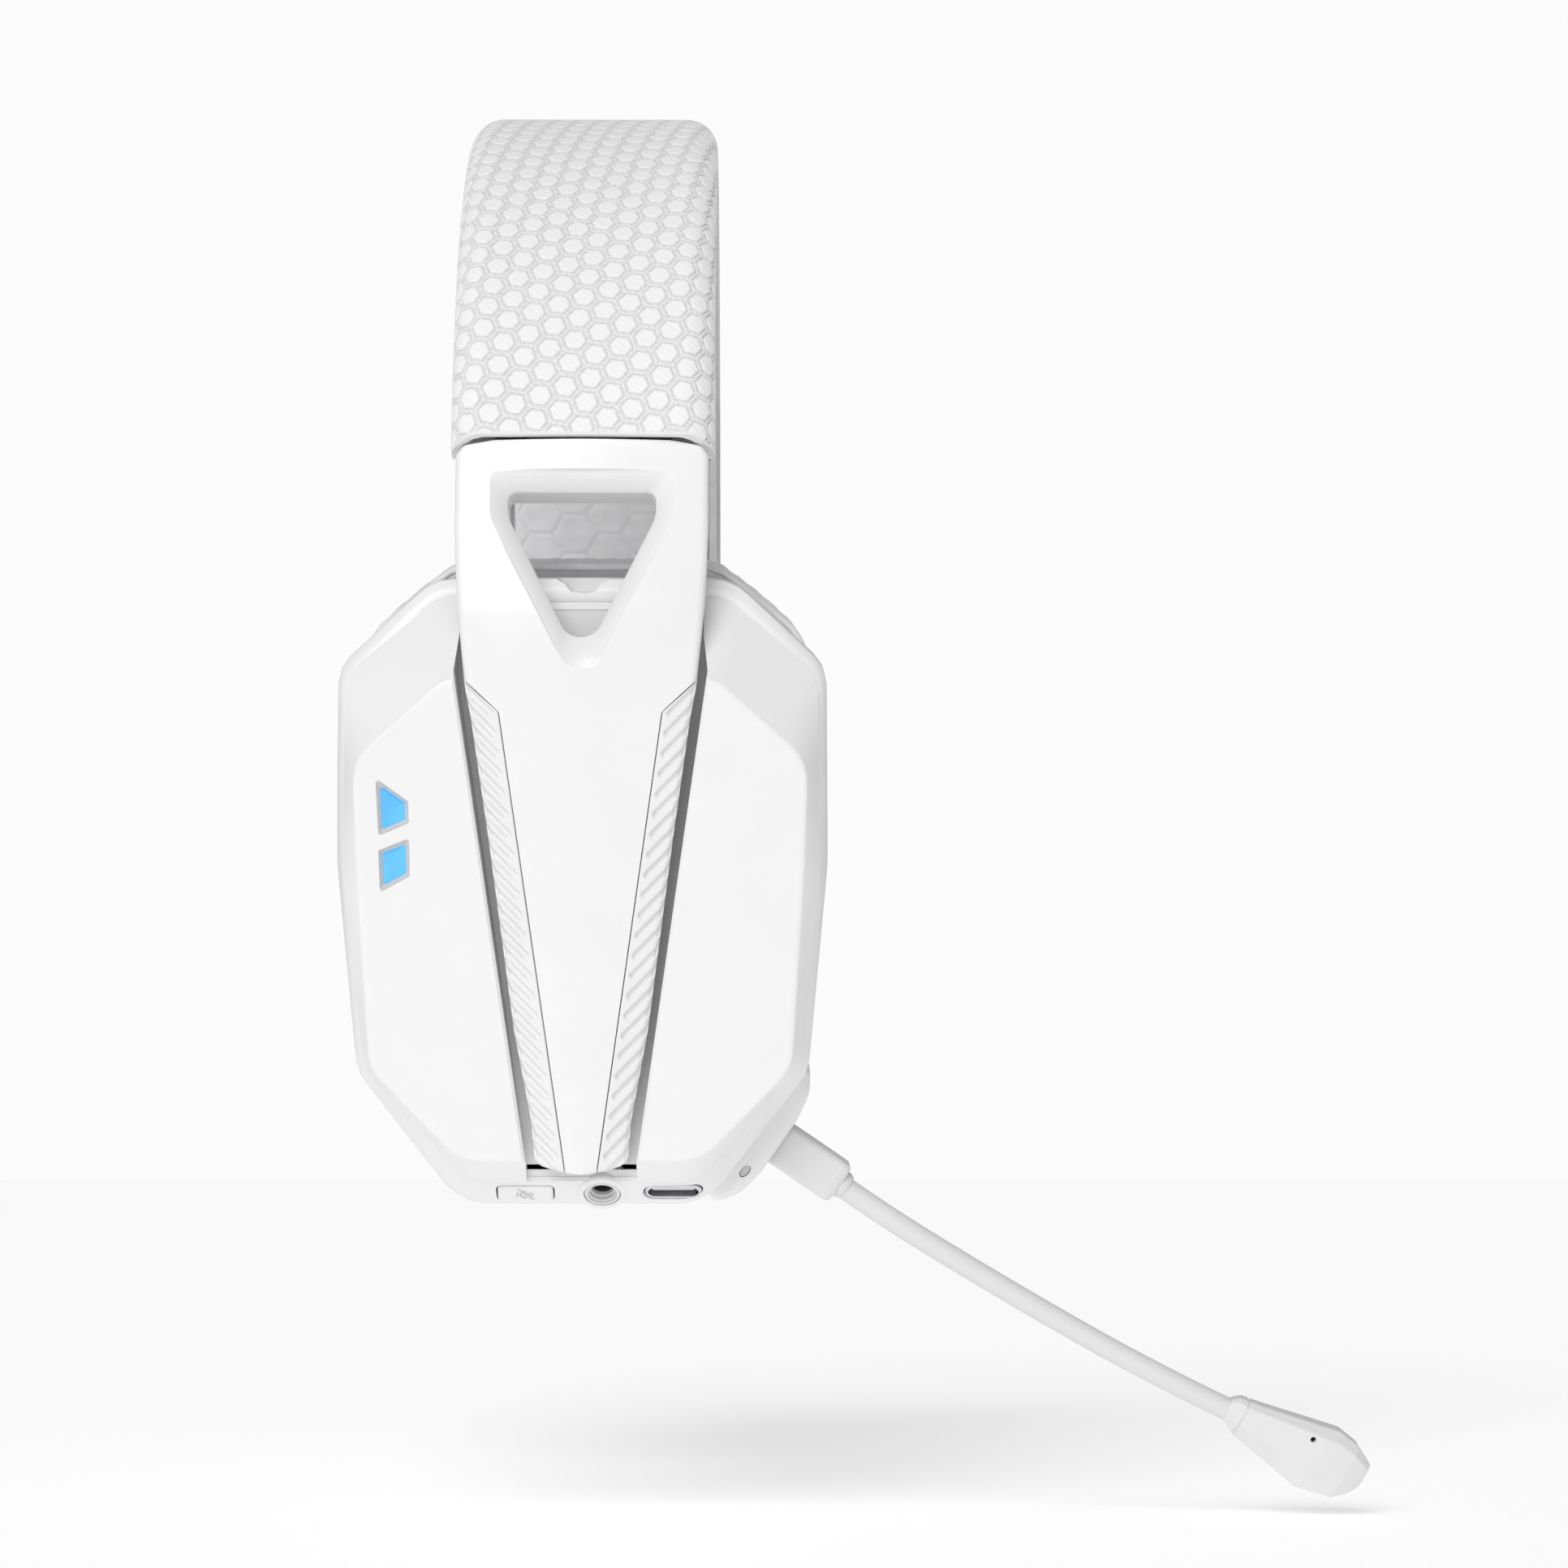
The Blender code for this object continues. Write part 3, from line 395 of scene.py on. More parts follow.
class Finish:
    """A material whose nodes read object coordinates."""

    def __init__(self, name, colour, roughness, **inputs):
        self.material = bpy.data.materials.new(name)
        self.material.use_nodes = True
        self.tree = self.material.node_tree
        self.shader = self.tree.nodes["Principled BSDF"]
        self.coordinates = self.tree.nodes.new("ShaderNodeTexCoord").outputs["Object"]
        self.colour = colour
        self.shader.inputs["Base Color"].default_value = (*colour, 1.0)
        self.shader.inputs["Roughness"].default_value = roughness
        for key, value in inputs.items():
            self.shader.inputs[key.replace("_", " ")].default_value = value
        self.normal = None

    def node(self, kind, inputs, **settings):
        """New node whose inputs are set to values or linked to sockets."""
        made = self.tree.nodes.new(kind)
        for key, value in settings.items():
            setattr(made, key, value)
        for key, value in inputs.items():
            if isinstance(value, bpy.types.NodeSocket):
                self.link(value, made.inputs[key])
            else:
                made.inputs[key].default_value = value
        return made

    def link(self, source, target):
        self.tree.links.new(source, target)

    def noise(self, scale, detail=3.0, stretch=None):
        vector = self.coordinates
        if stretch:
            vector = self.node("ShaderNodeMapping", {"Scale": stretch, "Vector": vector}).outputs["Vector"]
        inputs = {"Scale": scale, "Detail": detail, "Vector": vector}
        return self.node("ShaderNodeTexNoise", inputs).outputs["Fac"]

    def cells(self, scale):
        inputs = {"Scale": scale, "Vector": self.coordinates}
        made = self.node("ShaderNodeTexVoronoi", inputs, feature="DISTANCE_TO_EDGE")
        return made.outputs["Distance"]

    def wave(self, scale, direction="DIAGONAL", distortion=0.4):
        inputs = {"Scale": scale, "Distortion": distortion, "Vector": self.coordinates}
        return self.node("ShaderNodeTexWave", inputs, bands_direction=direction).outputs["Fac"]

    def ramp(self, factor, *stops):
        """Colour that goes through (position, colour) stops as factor rises."""
        made = self.node("ShaderNodeValToRGB", {"Fac": factor})
        for element, (position, colour) in zip(made.color_ramp.elements, stops):
            element.position = position
            element.color = (*colour, 1.0)
        return made.outputs["Color"]

    def bump(self, height, strength, distance):
        inputs = {"Strength": strength, "Distance": distance, "Height": height}
        if self.normal:
            inputs["Normal"] = self.normal
        self.normal = self.node("ShaderNodeBump", inputs).outputs["Normal"]
        self.link(self.normal, self.shader.inputs["Normal"])
        return self

    def vary_colour(self, factor, low, high, spread=(0.3, 0.7)):
        """Multiplies the base colour between low and high as factor goes through spread."""
        stops = [(at, [c * share for c in self.colour]) for at, share in zip(spread, (low, high))]
        self.link(self.ramp(factor, *stops), self.shader.inputs["Base Color"])
        return self

    def vary_roughness(self, factor, low, high):
        made = self.node("ShaderNodeMapRange", {"Value": factor, "To Min": low, "To Max": high})
        self.link(made.outputs["Result"], self.shader.inputs["Roughness"])
        return self


def plastic(name, colour, roughness, grain=0.04, coat=0.12):
    """Moulded plastic: fine spark-eroded grain, faint clouding and uneven gloss."""
    made = Finish(name, colour, roughness, Coat_Weight=coat, Coat_Roughness=0.25)
    clouds = made.noise(90.0, 4.0)
    made.vary_colour(clouds, 0.985, 1.01).vary_roughness(clouds, roughness - 0.05, roughness + 0.06)
    made.bump(made.noise(5200.0, 2.0), grain, 0.00008)
    return made.material


def metal(name, colour, roughness, stretch=(40.0, 2200.0, 2200.0)):
    """Brushed metal: lines drawn along X."""
    made = Finish(name, colour, roughness, Metallic=1.0)
    lines = made.noise(1.0, 6.0, stretch)
    made.vary_roughness(lines, roughness - 0.08, roughness + 0.14).vary_colour(lines, 0.9, 1.06)
    made.bump(lines, 0.12, 0.00003)
    return made.material


def wrap_fabric():
    """Knitted wrap of the headband: fine weave, a rope texture that shows in the grooves, and painted shade
    that darkens the grooves and hems.
    """
    made = Finish("cover_wrap", (0.89, 0.89, 0.893), 0.72, Sheen_Weight=0.25, Sheen_Roughness=0.5)
    groove = made.node("ShaderNodeAttribute", {}, attribute_name="groove").outputs["Fac"]
    # Painted shade: the colour falls to 0.8 of white where the cover is sunk, in the hexagon grooves, along
    # the rope and at the hems.
    made.vary_colour(groove, 1.0, 0.80, (0.0, 1.0))
    made.bump(made.wave(420.0), 0.25, 0.00012)
    made.bump(made.cells(2600.0), 0.18, 0.00006)
    return made.material


def soft_fabric(name, colour, roughness=0.8, weave=2300.0, folds=150.0):
    """Soft knitted or leatherette cover: fine pores over shallow uneven creases, with painted shade in their
    hollows and painted light on their crests.
    """
    made = Finish(name, colour, roughness, Sheen_Weight=0.3, Sheen_Roughness=0.45)
    crease_relief_and_shade = made.noise(folds, 5.0, (1.0, 1.0, 1.6))
    # Painted shade and light: the colour drops to 0.93 in the creases' hollows and rises to 1.04 on their
    # crests.
    made.vary_colour(crease_relief_and_shade, 0.93, 1.04)
    made.bump(crease_relief_and_shade, 0.35, 0.0005).bump(made.cells(weave), 0.3, 0.00009)
    return made.material


def cloth_weave(name, colour):
    made = Finish(name, colour, 0.9, Sheen_Weight=0.4)
    across = made.wave(900.0, "X", 0.1)
    along = made.wave(900.0, "Z", 0.1)
    made.vary_colour(across, 0.6, 1.5)
    made.bump(across, 0.6, 0.00012).bump(along, 0.6, 0.00012)
    return made.material


def lit_lens():
    """Clear blue window with an uneven light behind it."""
    made = Finish("lit_lens", (0.02, 0.12, 0.35), 0.12, Coat_Weight=1.0, Coat_Roughness=0.03)
    glow = made.ramp(made.noise(140.0, 1.0), (0.35, (0.055, 0.37, 0.75)), (0.75, (0.10, 0.52, 0.78)))
    made.link(glow, made.shader.inputs["Emission Color"])
    made.shader.inputs["Emission Strength"].default_value = 1.0
    return made.material


def circuit_board(name):
    made = Finish(name, (0.02, 0.13, 0.07), 0.4, Coat_Weight=0.5)
    made.vary_colour(made.cells(420.0), 0.5, 1.3, (0.02, 0.12)).bump(made.cells(420.0), 0.2, 0.0001)
    return made.material


def thin_film(name):
    made = Finish(name, (0.07, 0.07, 0.08), 0.25, Coat_Weight=0.8)
    made.vary_colour(made.wave(260.0, "X", 2.0), 0.7, 1.4).bump(made.wave(260.0, "X", 2.0), 0.3, 0.0002)
    return made.material


WHITE = (0.86, 0.86, 0.862)
SHELL_WHITE = plastic("white_satin_plastic", WHITE, 0.36)
GRIP_WHITE = plastic("white_grip_plastic", (0.83, 0.83, 0.832), 0.46, 0.08, 0.05)
INNER_WHITE = plastic("white_inner_plastic", (0.78, 0.78, 0.785), 0.5, 0.08, 0.0)
MIC_GREY = plastic("light_grey_plastic", (0.74, 0.74, 0.744), 0.42, 0.1)
BEZEL_GREY = plastic("bezel_grey_plastic", (0.62, 0.62, 0.625), 0.3)
BOOM_GREY = plastic("boom_sleeve_rubber", (0.72, 0.72, 0.724), 0.62, 0.2, 0.0)
DARK = plastic("dark_plastic", (0.05, 0.05, 0.055), 0.5, 0.1, 0.05)
STEEL = metal("brushed_steel", (0.56, 0.57, 0.59), 0.32)
BRIGHT = metal("bright_port_metal", (0.66, 0.66, 0.68), 0.2, (600.0, 600.0, 600.0))
MAGNET = metal("plated_magnet", (0.42, 0.42, 0.44), 0.28)
WRAP = wrap_fabric()
PAD_FABRIC = soft_fabric("pad_fabric", (0.68, 0.68, 0.69), 0.85, 2600.0, 220.0)
CUSHION_FABRIC = soft_fabric("cushion_cover", (0.80, 0.80, 0.81), 0.6)
SPEAKER_CLOTH = cloth_weave("speaker_weave", (0.05, 0.05, 0.052))
LENS = lit_lens()


# Headband

def hex_edge(across, along, pitch, turn):
    """Distance from points to the nearest edge of a net of hexagons, in millimetres."""
    c, s = math.cos(turn), math.sin(turn)
    x, y = c * across + s * along, -s * across + c * along
    tall = pitch * math.sqrt(3)

    def centred(px, py):
        return (px + pitch / 2) % pitch - pitch / 2, (py + tall / 2) % tall - tall / 2

    ax, ay = centred(x, y)
    bx, by = centred(x - pitch / 2, y - tall / 2)
    first = ax * ax + ay * ay < bx * bx + by * by
    hx = np.abs(np.where(first, ax, bx))
    hy = np.abs(np.where(first, ay, by))
    return pitch / 2 - np.maximum(hx, hx / 2 + hy * math.sqrt(3) / 2)


def section_curve(half, outer, low, corner, step):
    """Points (x, radius, normal x, normal r, length) down one side, across and down the other."""
    side = outer - corner - low
    quarter = corner * math.pi / 2
    flat = 2 * (half - corner)
    total = 2 * side + 2 * quarter + flat
    points = []
    for length in np.linspace(0, total, int(total / step) + 1):
        here = min(length, total - length)
        sign = -1 if length < total / 2 else 1
        if here < side:
            x, r, nx, nr = half, low + here, 1.0, 0.0
        elif here < side + quarter:
            turn = (here - side) / corner
            x, r = half - corner + corner * math.cos(turn), outer - corner + corner * math.sin(turn)
            nx, nr = math.cos(turn), math.sin(turn)
        else:
            x, r, nx, nr = half - corner - (here - side - quarter), outer, 0.0, 1.0
        points.append((sign * x, r, sign * nx, nr, length - total / 2))
    return np.array(points)


def cover_end(x):
    """Angle at which the cover ends: it rises in the middle."""
    inside = np.clip((BAND_HALF_WIDTH - 0.6 - np.abs(x)) / 4.0, 0, 1)
    return BAND_END_ANGLE - 0.15 - 1.05 * inside * (2 - inside)


def arch_grid(x, turns, radius):
    """Grid of points about the arch's axis."""
    x, turns, radius = np.broadcast_arrays(x, turns, radius)
    return np.stack([x, radius * np.sin(turns), ARCH_Z + radius * np.cos(turns)], axis=-1)


def swept(section, turns, drop):
    """Grid of points swept about the arch: rows of angles, columns of the section, sunk by drop."""
    return arch_grid(section[:, 0] - section[:, 2] * drop, turns, section[:, 1] - section[:, 3] * drop)


def hex_relief(across, along):
    """Depth of the cover's pattern: double-lined hexagons with a twisted rope between the lines."""
    edge = hex_edge(across + 1.2, along + 0.9, HEX_PITCH, math.radians(21))
    trench = np.clip(1 - np.abs(edge - 0.40) / 0.24, 0, 1)
    rope = np.clip(1 - edge / 0.3, 0, 1)
    twist = 0.5 + 0.5 * np.sin(2 * math.pi * (across + along) / 0.9)
    return 0.40 * trench * trench * (3 - 2 * trench) + rope * (0.07 + 0.22 * twist)


def add_cover():
    """Wrapped cover of the band: an embossed outside and a plain inside, hemmed at both ends."""
    section = section_curve(BAND_HALF_WIDTH, ARCH_RADIUS - 0.1, COVER_LOW, COVER_CORNER, COVER_CELL)
    rows = 1000
    share = np.linspace(-1, 1, rows)[:, None]
    turns = np.radians(share * cover_end(section[:, 0])[None, :])
    across = np.broadcast_to(section[:, 4][None, :], turns.shape)
    fade = np.clip((np.abs(across).max() - np.abs(across)) / 2.5, 0, 1)
    hem = np.clip((np.abs(share) - 0.9935) / 0.004, 0, 1)
    sink = hex_relief(across, turns * ARCH_RADIUS) * fade * (1 - hem) + 0.12 * hem
    outer = swept(section, turns, sink)
    inner = swept(section, turns, np.full_like(sink, COVER_WALL))[:, ::5]
    ring = np.concatenate([outer, inner[:, ::-1]], axis=1)
    cover = piece("headband_wrap", loft(ring.tolist()), None, WRAP, 60)
    # Sink depth of each outer point, kept in the layer named groove, from which the wrap material paints
    # shade into the grooves and hems.
    values = np.zeros(ring.shape[:2], np.float32)
    values[:, :len(section)] = np.clip(sink / 0.3, 0, 1)
    groove_shade_layer = cover.data.attributes.new("groove", "FLOAT", "POINT")
    groove_shade_layer.data.foreach_set("value", values.ravel())
    place(cover, "headband", "cover_fabric", "headband_cover")


def pad_profile(share):
    """Thickness of the pad over its width, from -1 to 1: crowned, pinched at the two seams."""
    crown = np.sqrt(np.clip(1 - np.abs(share) ** 5, 0, 1))
    seam = np.exp(-((np.abs(share) - 0.905) / 0.018) ** 2)
    return crown - 0.75 * seam


def add_pad():
    """Quilted pad under the band, with a seam along each side."""
    half = BAND_HALF_WIDTH - 0.7
    columns, rows = 150, 560
    share = np.sin(np.linspace(-1, 1, columns) * math.pi / 2)[None, :]
    degrees = np.linspace(-1, 1, rows)[:, None] * (BAND_END_ANGLE - 0.5)
    back = np.interp(np.abs(degrees), [52, 58], [72.3, 70.4])
    ends = np.clip((BAND_END_ANGLE - np.abs(degrees)) / 1.8, 0, 1) ** 0.5
    along = np.radians(degrees) * PAD_INNER_RADIUS
    edge = hex_edge(share * half, along, QUILT_PITCH, math.radians(30))
    groove = np.clip(1 - np.abs(edge) / 0.45, 0, 1)
    inside = np.clip((0.87 - np.abs(share)) / 0.03, 0, 1)
    depth = (back - PAD_INNER_RADIUS) * (0.25 + 0.75 * ends)
    thick = pad_profile(share) * depth - 0.35 * groove * inside * ends
    swell = 0.1 * np.sin(along / 9.0) * (1 - share * share)
    radius = back - np.clip(thick + swell, 0.35, None)
    turns = np.radians(degrees)
    inner = arch_grid(share * half, turns, radius)
    outer = arch_grid(share * half, turns, back)
    pad = piece("headband_cushion", slab(inner, outer), None, PAD_FABRIC, 50)
    place(pad, "headband", "pad_fabric", "headband_pad")


# Arms

ARM_STATIONS = [  # (along the arm from the band's end, half width, thickness)
    (-1.2, 18.9, 3.2), (0.0, 19.85, 3.2), (12.0, 19.85, 3.2), (19.6, 19.6, 3.2), (24.8, 19.25, 4.9),
    (30.0, 18.8, 5.2), (38.0, 18.05, 5.4), (44.7, 16.9, 5.4), (62.5, 14.35, 4.8), (92.5, 10.45, 3.8),
    (106.5, 7.85, 3.1)]
STATION_PLACES, STATION_HALVES, STATION_DEPTHS = zip(*ARM_STATIONS)
ARM_BOTTOM = -44.0
ARM_HALF_WIDTH = 19.85       # where the arm leaves the band
ARM_EDGE = 1.1               # rounding of the long edges
GRIP_PITCH = 2.7
ARM_END_HALF = 7.3
ARM_END_DEPTH = 2.4          # length of the rounded lower end


def arm_path():
    """Lengths along the arm's ridge, and its places: distance from the middle plane and height."""
    neck, cup = neck_axes(-1), cup_axes(-1)
    places = [neck @ Vector((0, 1.2 - s, ARM_NECK_RADIUS)) for s in (0, 6, 12, 18, 24, 29)]
    places += [cup @ Vector((0, v, ARM_FACE)) for v in (31, 26, 20, 10, 0, -10, -20, -30, -37, -44, -52)]
    flat = [(-p.y, p.z) for p in places]
    route = np.array(smooth_route(flat, 14))
    steps = np.hypot(*np.diff(route, axis=0).T)
    return np.concatenate([[0], np.cumsum(steps)]) - 1.2, route


ARM_LENGTHS, ARM_ROUTE = arm_path()


def arm_frame(length):
    """Place and outward direction (distance from the middle plane, height) at lengths along the arm."""
    behind, spot, ahead = (
        np.stack([np.interp(length + step, ARM_LENGTHS, ARM_ROUTE[:, i]) for i in (0, 1)], axis=-1)
        for step in (-1.5, 0.0, 1.5))
    run = ahead - behind
    run /= np.linalg.norm(run, axis=-1, keepdims=True)
    return spot, np.stack([-run[..., 1], run[..., 0]], axis=-1)


def arm_half(length):
    """Half width along the arm, whose lower end is rounded."""
    end = float(arm_length_at(ARM_BOTTOM))
    places = [*STATION_PLACES, end - ARM_END_DEPTH]
    halves = [*STATION_HALVES, ARM_END_HALF]
    over = np.clip((length - end + ARM_END_DEPTH) / ARM_END_DEPTH, 0, 0.995)
    return np.interp(length, places, halves) * np.sqrt(1 - over * over)


def arm_fall(x, half):
    """How far the arm's face lies below its ridge."""
    share = np.clip(np.abs(x) / half, 0, 1)
    return 1.25 * share ** 1.7


def arm_points(x, length, sink, side):
    """Points on or below the arm's face, in the world."""
    spot, out = arm_frame(length)
    y = spot[..., 0] - out[..., 0] * sink
    z = spot[..., 1] - out[..., 1] * sink
    return np.stack([x, side * y, z], axis=-1)


def arm_face_at(up):
    """Height of the arm's ridge over a place in the neck's axes."""
    route = np.stack([0 * ARM_ROUTE[:, 0], -ARM_ROUTE[:, 0], ARM_ROUTE[:, 1]], axis=-1)
    local = moved(route, neck_axes(-1).inverted())
    return float(np.interp(-up, -local[:, 1], local[:, 2]))


def arm_length_at(v):
    """Length along the arm at a height on the cup."""
    heights = (ARM_ROUTE[:, 1] - CUP_Z) / math.cos(math.radians(CUP_TILT)) + 0.12
    return np.interp(-v, -heights, ARM_LENGTHS)


def arm_section(length):
    """Places across the arm, and their depths below the ridge, once round the section at a length."""
    half = float(arm_half(length))
    thick = float(np.interp(length, STATION_PLACES, STATION_DEPTHS))
    soft = min(ARM_EDGE, 0.35 * half)
    flat = half - soft
    x = np.linspace(-flat, flat, 45)
    edge = float(arm_fall(flat, half))
    angles = np.radians(np.linspace(0, 90, 7)[1:])
    turn_x = flat + soft * np.sin(angles)
    turn_sink = edge + soft * (1 - np.cos(angles))
    back_x = [half, half - 0.4, -half + 0.4, -half]
    back_sink = [thick - 0.4, thick, thick, thick - 0.4]
    xs = np.concatenate([x, turn_x, back_x, -turn_x[::-1]])
    sinks = np.concatenate([arm_fall(x, half), turn_sink, back_sink, turn_sink[::-1]])
    return xs, sinks


def window_cutter():
    """Window with a bevelled edge that follows the arm's face, in the neck's axes."""
    profile = [(-2.7, 0.0), (-2.45, 0.12), (-0.45, 2.1), (-0.3, 2.3), (-0.05, 2.7), (0.25, 3.0)]
    rings = [lifted(window_outline(0.0), ARM_NECK_RADIUS - 9)]
    for at, grow in profile:
        outline = window_outline(grow)
        rings.append([(x, y, arm_face_at(y) + at - arm_fall(x, ARM_HALF_WIDTH)) for x, y in outline])
    rings.append(lifted(window_outline(profile[-1][1]), ARM_NECK_RADIUS + 3))
    return loft(rings)


def add_arm(name, side):
    end = float(arm_length_at(ARM_BOTTOM))
    tip = end - ARM_END_DEPTH * (1 - np.sin(np.radians(np.linspace(0, 90, 22))))
    rings = []
    for length in np.concatenate([np.linspace(-1.2, end - ARM_END_DEPTH, 96)[:-1], tip]):
        xs, sinks = arm_section(length)
        shift = (0.9 if length < 0 else 0.0) * np.clip((np.abs(xs) - 14) / 5.5, 0, 1)
        rings.append(arm_points(xs, length + shift, sinks, side).tolist())
    arm = piece(name + "_arm", loft(rings), None, SHELL_WHITE)
    carve(arm, window_cutter(), neck_axes(side))
    for hand in (1, -1):
        carve(arm, prism(inlay_outline(hand), ARM_FACE - 2.2, ARM_FACE + 3), cup_axes(side))
    settle(arm, 40)
    place(arm, name + "_arm", "white_plastic", name + "_arm_shell")
    add_inner_cover(name, side)
    for hand, word in ((1, "_front"), (-1, "_rear")):
        add_inlay(name, word, hand, side)


def window_outline(grow):
    """Three-cornered window with a soft lower corner, in the neck's axes."""
    half = 11.6 + grow
    top, shoulder = -6.7 + grow, -10.6 - 0.25 * grow
    return rounded([(half, top, 1.4 + 0.25 * grow), (half, shoulder, 7.0), (0.0, -34.7 - 1.9 * grow, 3.4),
                    (-half, shoulder, 7.0), (-half, top, 1.4 + 0.25 * grow)], 10)


def inlay_outline(hand):
    corners = [(19.4, 34.5, 0), (19.4, -37.0, 0), (9.0, -45.0, 0), (2.2, -45.0, 0.3), (12.6, 28.2, 1.2)]
    return rounded([(hand * x, y, radius) for x, y, radius in corners], 5)


def add_inlay(name, word, hand, side):
    """Ribbed grip beside the ridge: rounded slots run from its inner edge out over the arm's side."""
    rows, columns = 420, 34
    v = np.linspace(33.6, -43.8, rows)[:, None]
    share = np.linspace(0, 1, columns)[None, :]
    length = arm_length_at(v)
    half = arm_half(length)
    inner = np.interp(-v, [-34.5, -28.2, 42.9], [19.4, 12.65, 2.55]) + 0.12
    inner = np.minimum(inner, half - 0.3)
    x = inner + (half - 0.02 - inner) * share
    slope = (12.6 - 2.5) / 71.1
    line = np.round((v - x - 0.6) / GRIP_PITCH) * GRIP_PITCH + 0.6
    end_x = (3.85 + slope * (line + 42.9)) / (1 - slope)
    end_v = line + end_x
    ahead = ((x - end_x) + (v - end_v)) / math.sqrt(2)
    aside = np.abs((v - x) - line) / math.sqrt(2)
    reach = np.where(ahead > 0, aside, np.hypot(ahead, aside))
    slot = np.clip((0.62 - reach) / 0.30, 0, 1)
    slot = slot * slot * (3 - 2 * slot)
    keep = np.clip(27.0 - line, 0, 1) * np.clip(line + 50.5, 0, 1)
    rim = np.clip(1 - (x - inner) / 0.18, 0, 1) ** 2
    outer = np.clip(1 - (half - x) / 0.9, 0, 1) ** 2
    sink = arm_fall(x, half) + 0.03 + 0.60 * slot * keep + 0.15 * rim + 0.75 * outer
    top = arm_points(hand * x, length, sink, side)
    bottom = arm_points(hand * x, length, np.full_like(sink, 2.15), side)
    inlay = piece(name + word + "_grip", slab(top, bottom), None, GRIP_WHITE, 50)
    place(inlay, name + "_arm", "grip_plastic", name + word + "_grip_inlay")


def add_inner_cover(name, side):
    neck = neck_axes(side)
    outline = rounded([(18.9, -0.7, 1.5), (18.4, -19.4, 3.0), (-18.4, -19.4, 3.0), (-18.9, -0.7, 1.5)], 6)
    cover = piece(name + "_inner_cover", prism(outline, 71.0, 76.5), neck, INNER_WHITE)
    carve(cover, prism(window_outline(0.1), 60, 85), neck)
    carve(cover, prism(rectangle(-9.3, 9.3, -3.8, 2), 71.7, 73.5), neck)
    below = [[(-30, y, 60), (30, y, 60), (30, y, top), (-30, y, top)]
             for y, top in ((-24, 74.6), (-5.7, 70.9))]
    carve(cover, loft(below), neck)
    settle(cover, 30)
    place(cover, name + "_arm", "white_plastic", name + "_arm_inner_cover")


# Cups

def bevel_depth(up):
    return blend([(-46, -5.0), (0, -4.5), (20, -5.5), (33, -8.5), (46, -12.0)], up)


def rim_depth(up):
    return blend([(-50, -9.4), (-30, -8.2), (20, -8.5), (34, -10.5), (48.6, -13.2)], up)


def channel_floor(up):
    return -5.0 - 0.075 * (up + 45.0)


def pan_face(up):
    return -1.2 - 0.85 * max(0.0, up - 32.0)


def shifted(depth, drop):
    """The same depth, lowered by drop."""
    return lambda up: depth(up) - drop


def about_middle(outline, scale):
    """Outline scaled about the mean of its points."""
    cx, cy = np.mean(outline, axis=0).tolist()
    return [(cx + (x - cx) * scale, cy + (y - cy) * scale) for x, y in outline]


def lens_outline(corners, shrink):
    return rounded([(x, y, 0.35) for x, y in about_middle(corners, 1 - shrink / 4)], 4)


def eased(first, low, second, high, bulge, steps):
    """Rings from one outline to another, bowed out by bulge in the middle."""
    rings = []
    for step in range(1, steps):
        share = step / steps
        flat = between(first, second, share)
        lift = bulge * math.sin(math.pi * share)
        rings.append([(x, y, low(y0) + (high(y1) - low(y0)) * share + lift)
                      for (x, y), (_, y0), (_, y1) in zip(flat, first, second)])
    return rings


def add_face_plate(name, cup):
    """Face of the cup, with a channel for the arm and a pocket for each light."""
    plate, bevel = polar(PLATE), polar(BEVEL)
    edge = shifted(bevel_depth, -0.2)
    rings = drawn(bevel, (3.0, bevel_depth), (0.25, bevel_depth), (0.0, edge))
    rings += eased(bevel, edge, plate, lambda up: -0.35, 0.15, 10)
    rings += drawn(plate, (0.0, -0.35), (0.15, -0.2), (0.45, -0.06), (1.0, 0.0))
    shell = piece(name + "_face", loft(rings), cup, SHELL_WHITE, 30)
    inside = inset(bevel, 2.4)
    carve(shell, stack((inside, -20.0), (inside, shifted(bevel_depth, 0.9)), (inset(plate, 2.6), -2.0)), cup)
    pan = symmetric([(20.8, 45.0, 0), (21.4, 36.0, 0), (20.76, 32.0, 0), (10.2, -43.2, 0)])
    carve(shell, stack((pan, shifted(channel_floor, 1.0)), (pan, pan_face)), cup, "UNION")
    channel, lip = symmetric(CHANNEL), symmetric(CHANNEL_LIP)
    carve(shell, stack((channel, channel_floor), (channel, -0.45), (lip, 0.05), (lip, 5.0)), cup)
    for corners in LENSES.values():
        pocket, mouth = lens_outline(corners, 0.75), lens_outline(corners, -0.05)
        carve(shell, stack((pocket, -5.0), (pocket, -0.75), (mouth, 0.05), (mouth, 3.0)), cup)
    settle(shell, 30)
    place(shell, name + "_cup", "white_plastic", name + "_face_plate")
    for word, corners in LENSES.items():
        add_light(f"{name}_{word}_light", corners, name + "_cup", cup)


def add_light(name, corners, body, cup):
    """Lens sunk in a raised bezel."""
    levels = ((0.78, -1.5), (0.12, -0.15), (0.18, -0.02), (0.8, -0.6), (1.0, -0.75), (1.0, -1.5))
    bezel = stack(*[(lens_outline(corners, shrink), height) for shrink, height in levels], closed=True)
    add(name + "_bezel", bezel, cup, BEZEL_GREY, 25, body, "light_grey_plastic")
    glass = lens_outline(corners, 0.95)
    lens = stack((glass, -2.0), (glass, -0.95), (about_middle(glass, 0.96), -0.8),
                 (about_middle(glass, 1 - 0.5 / 3), -0.74))
    add(name, lens, cup, LENS, 25, body, "light_lens", name + "_lens")


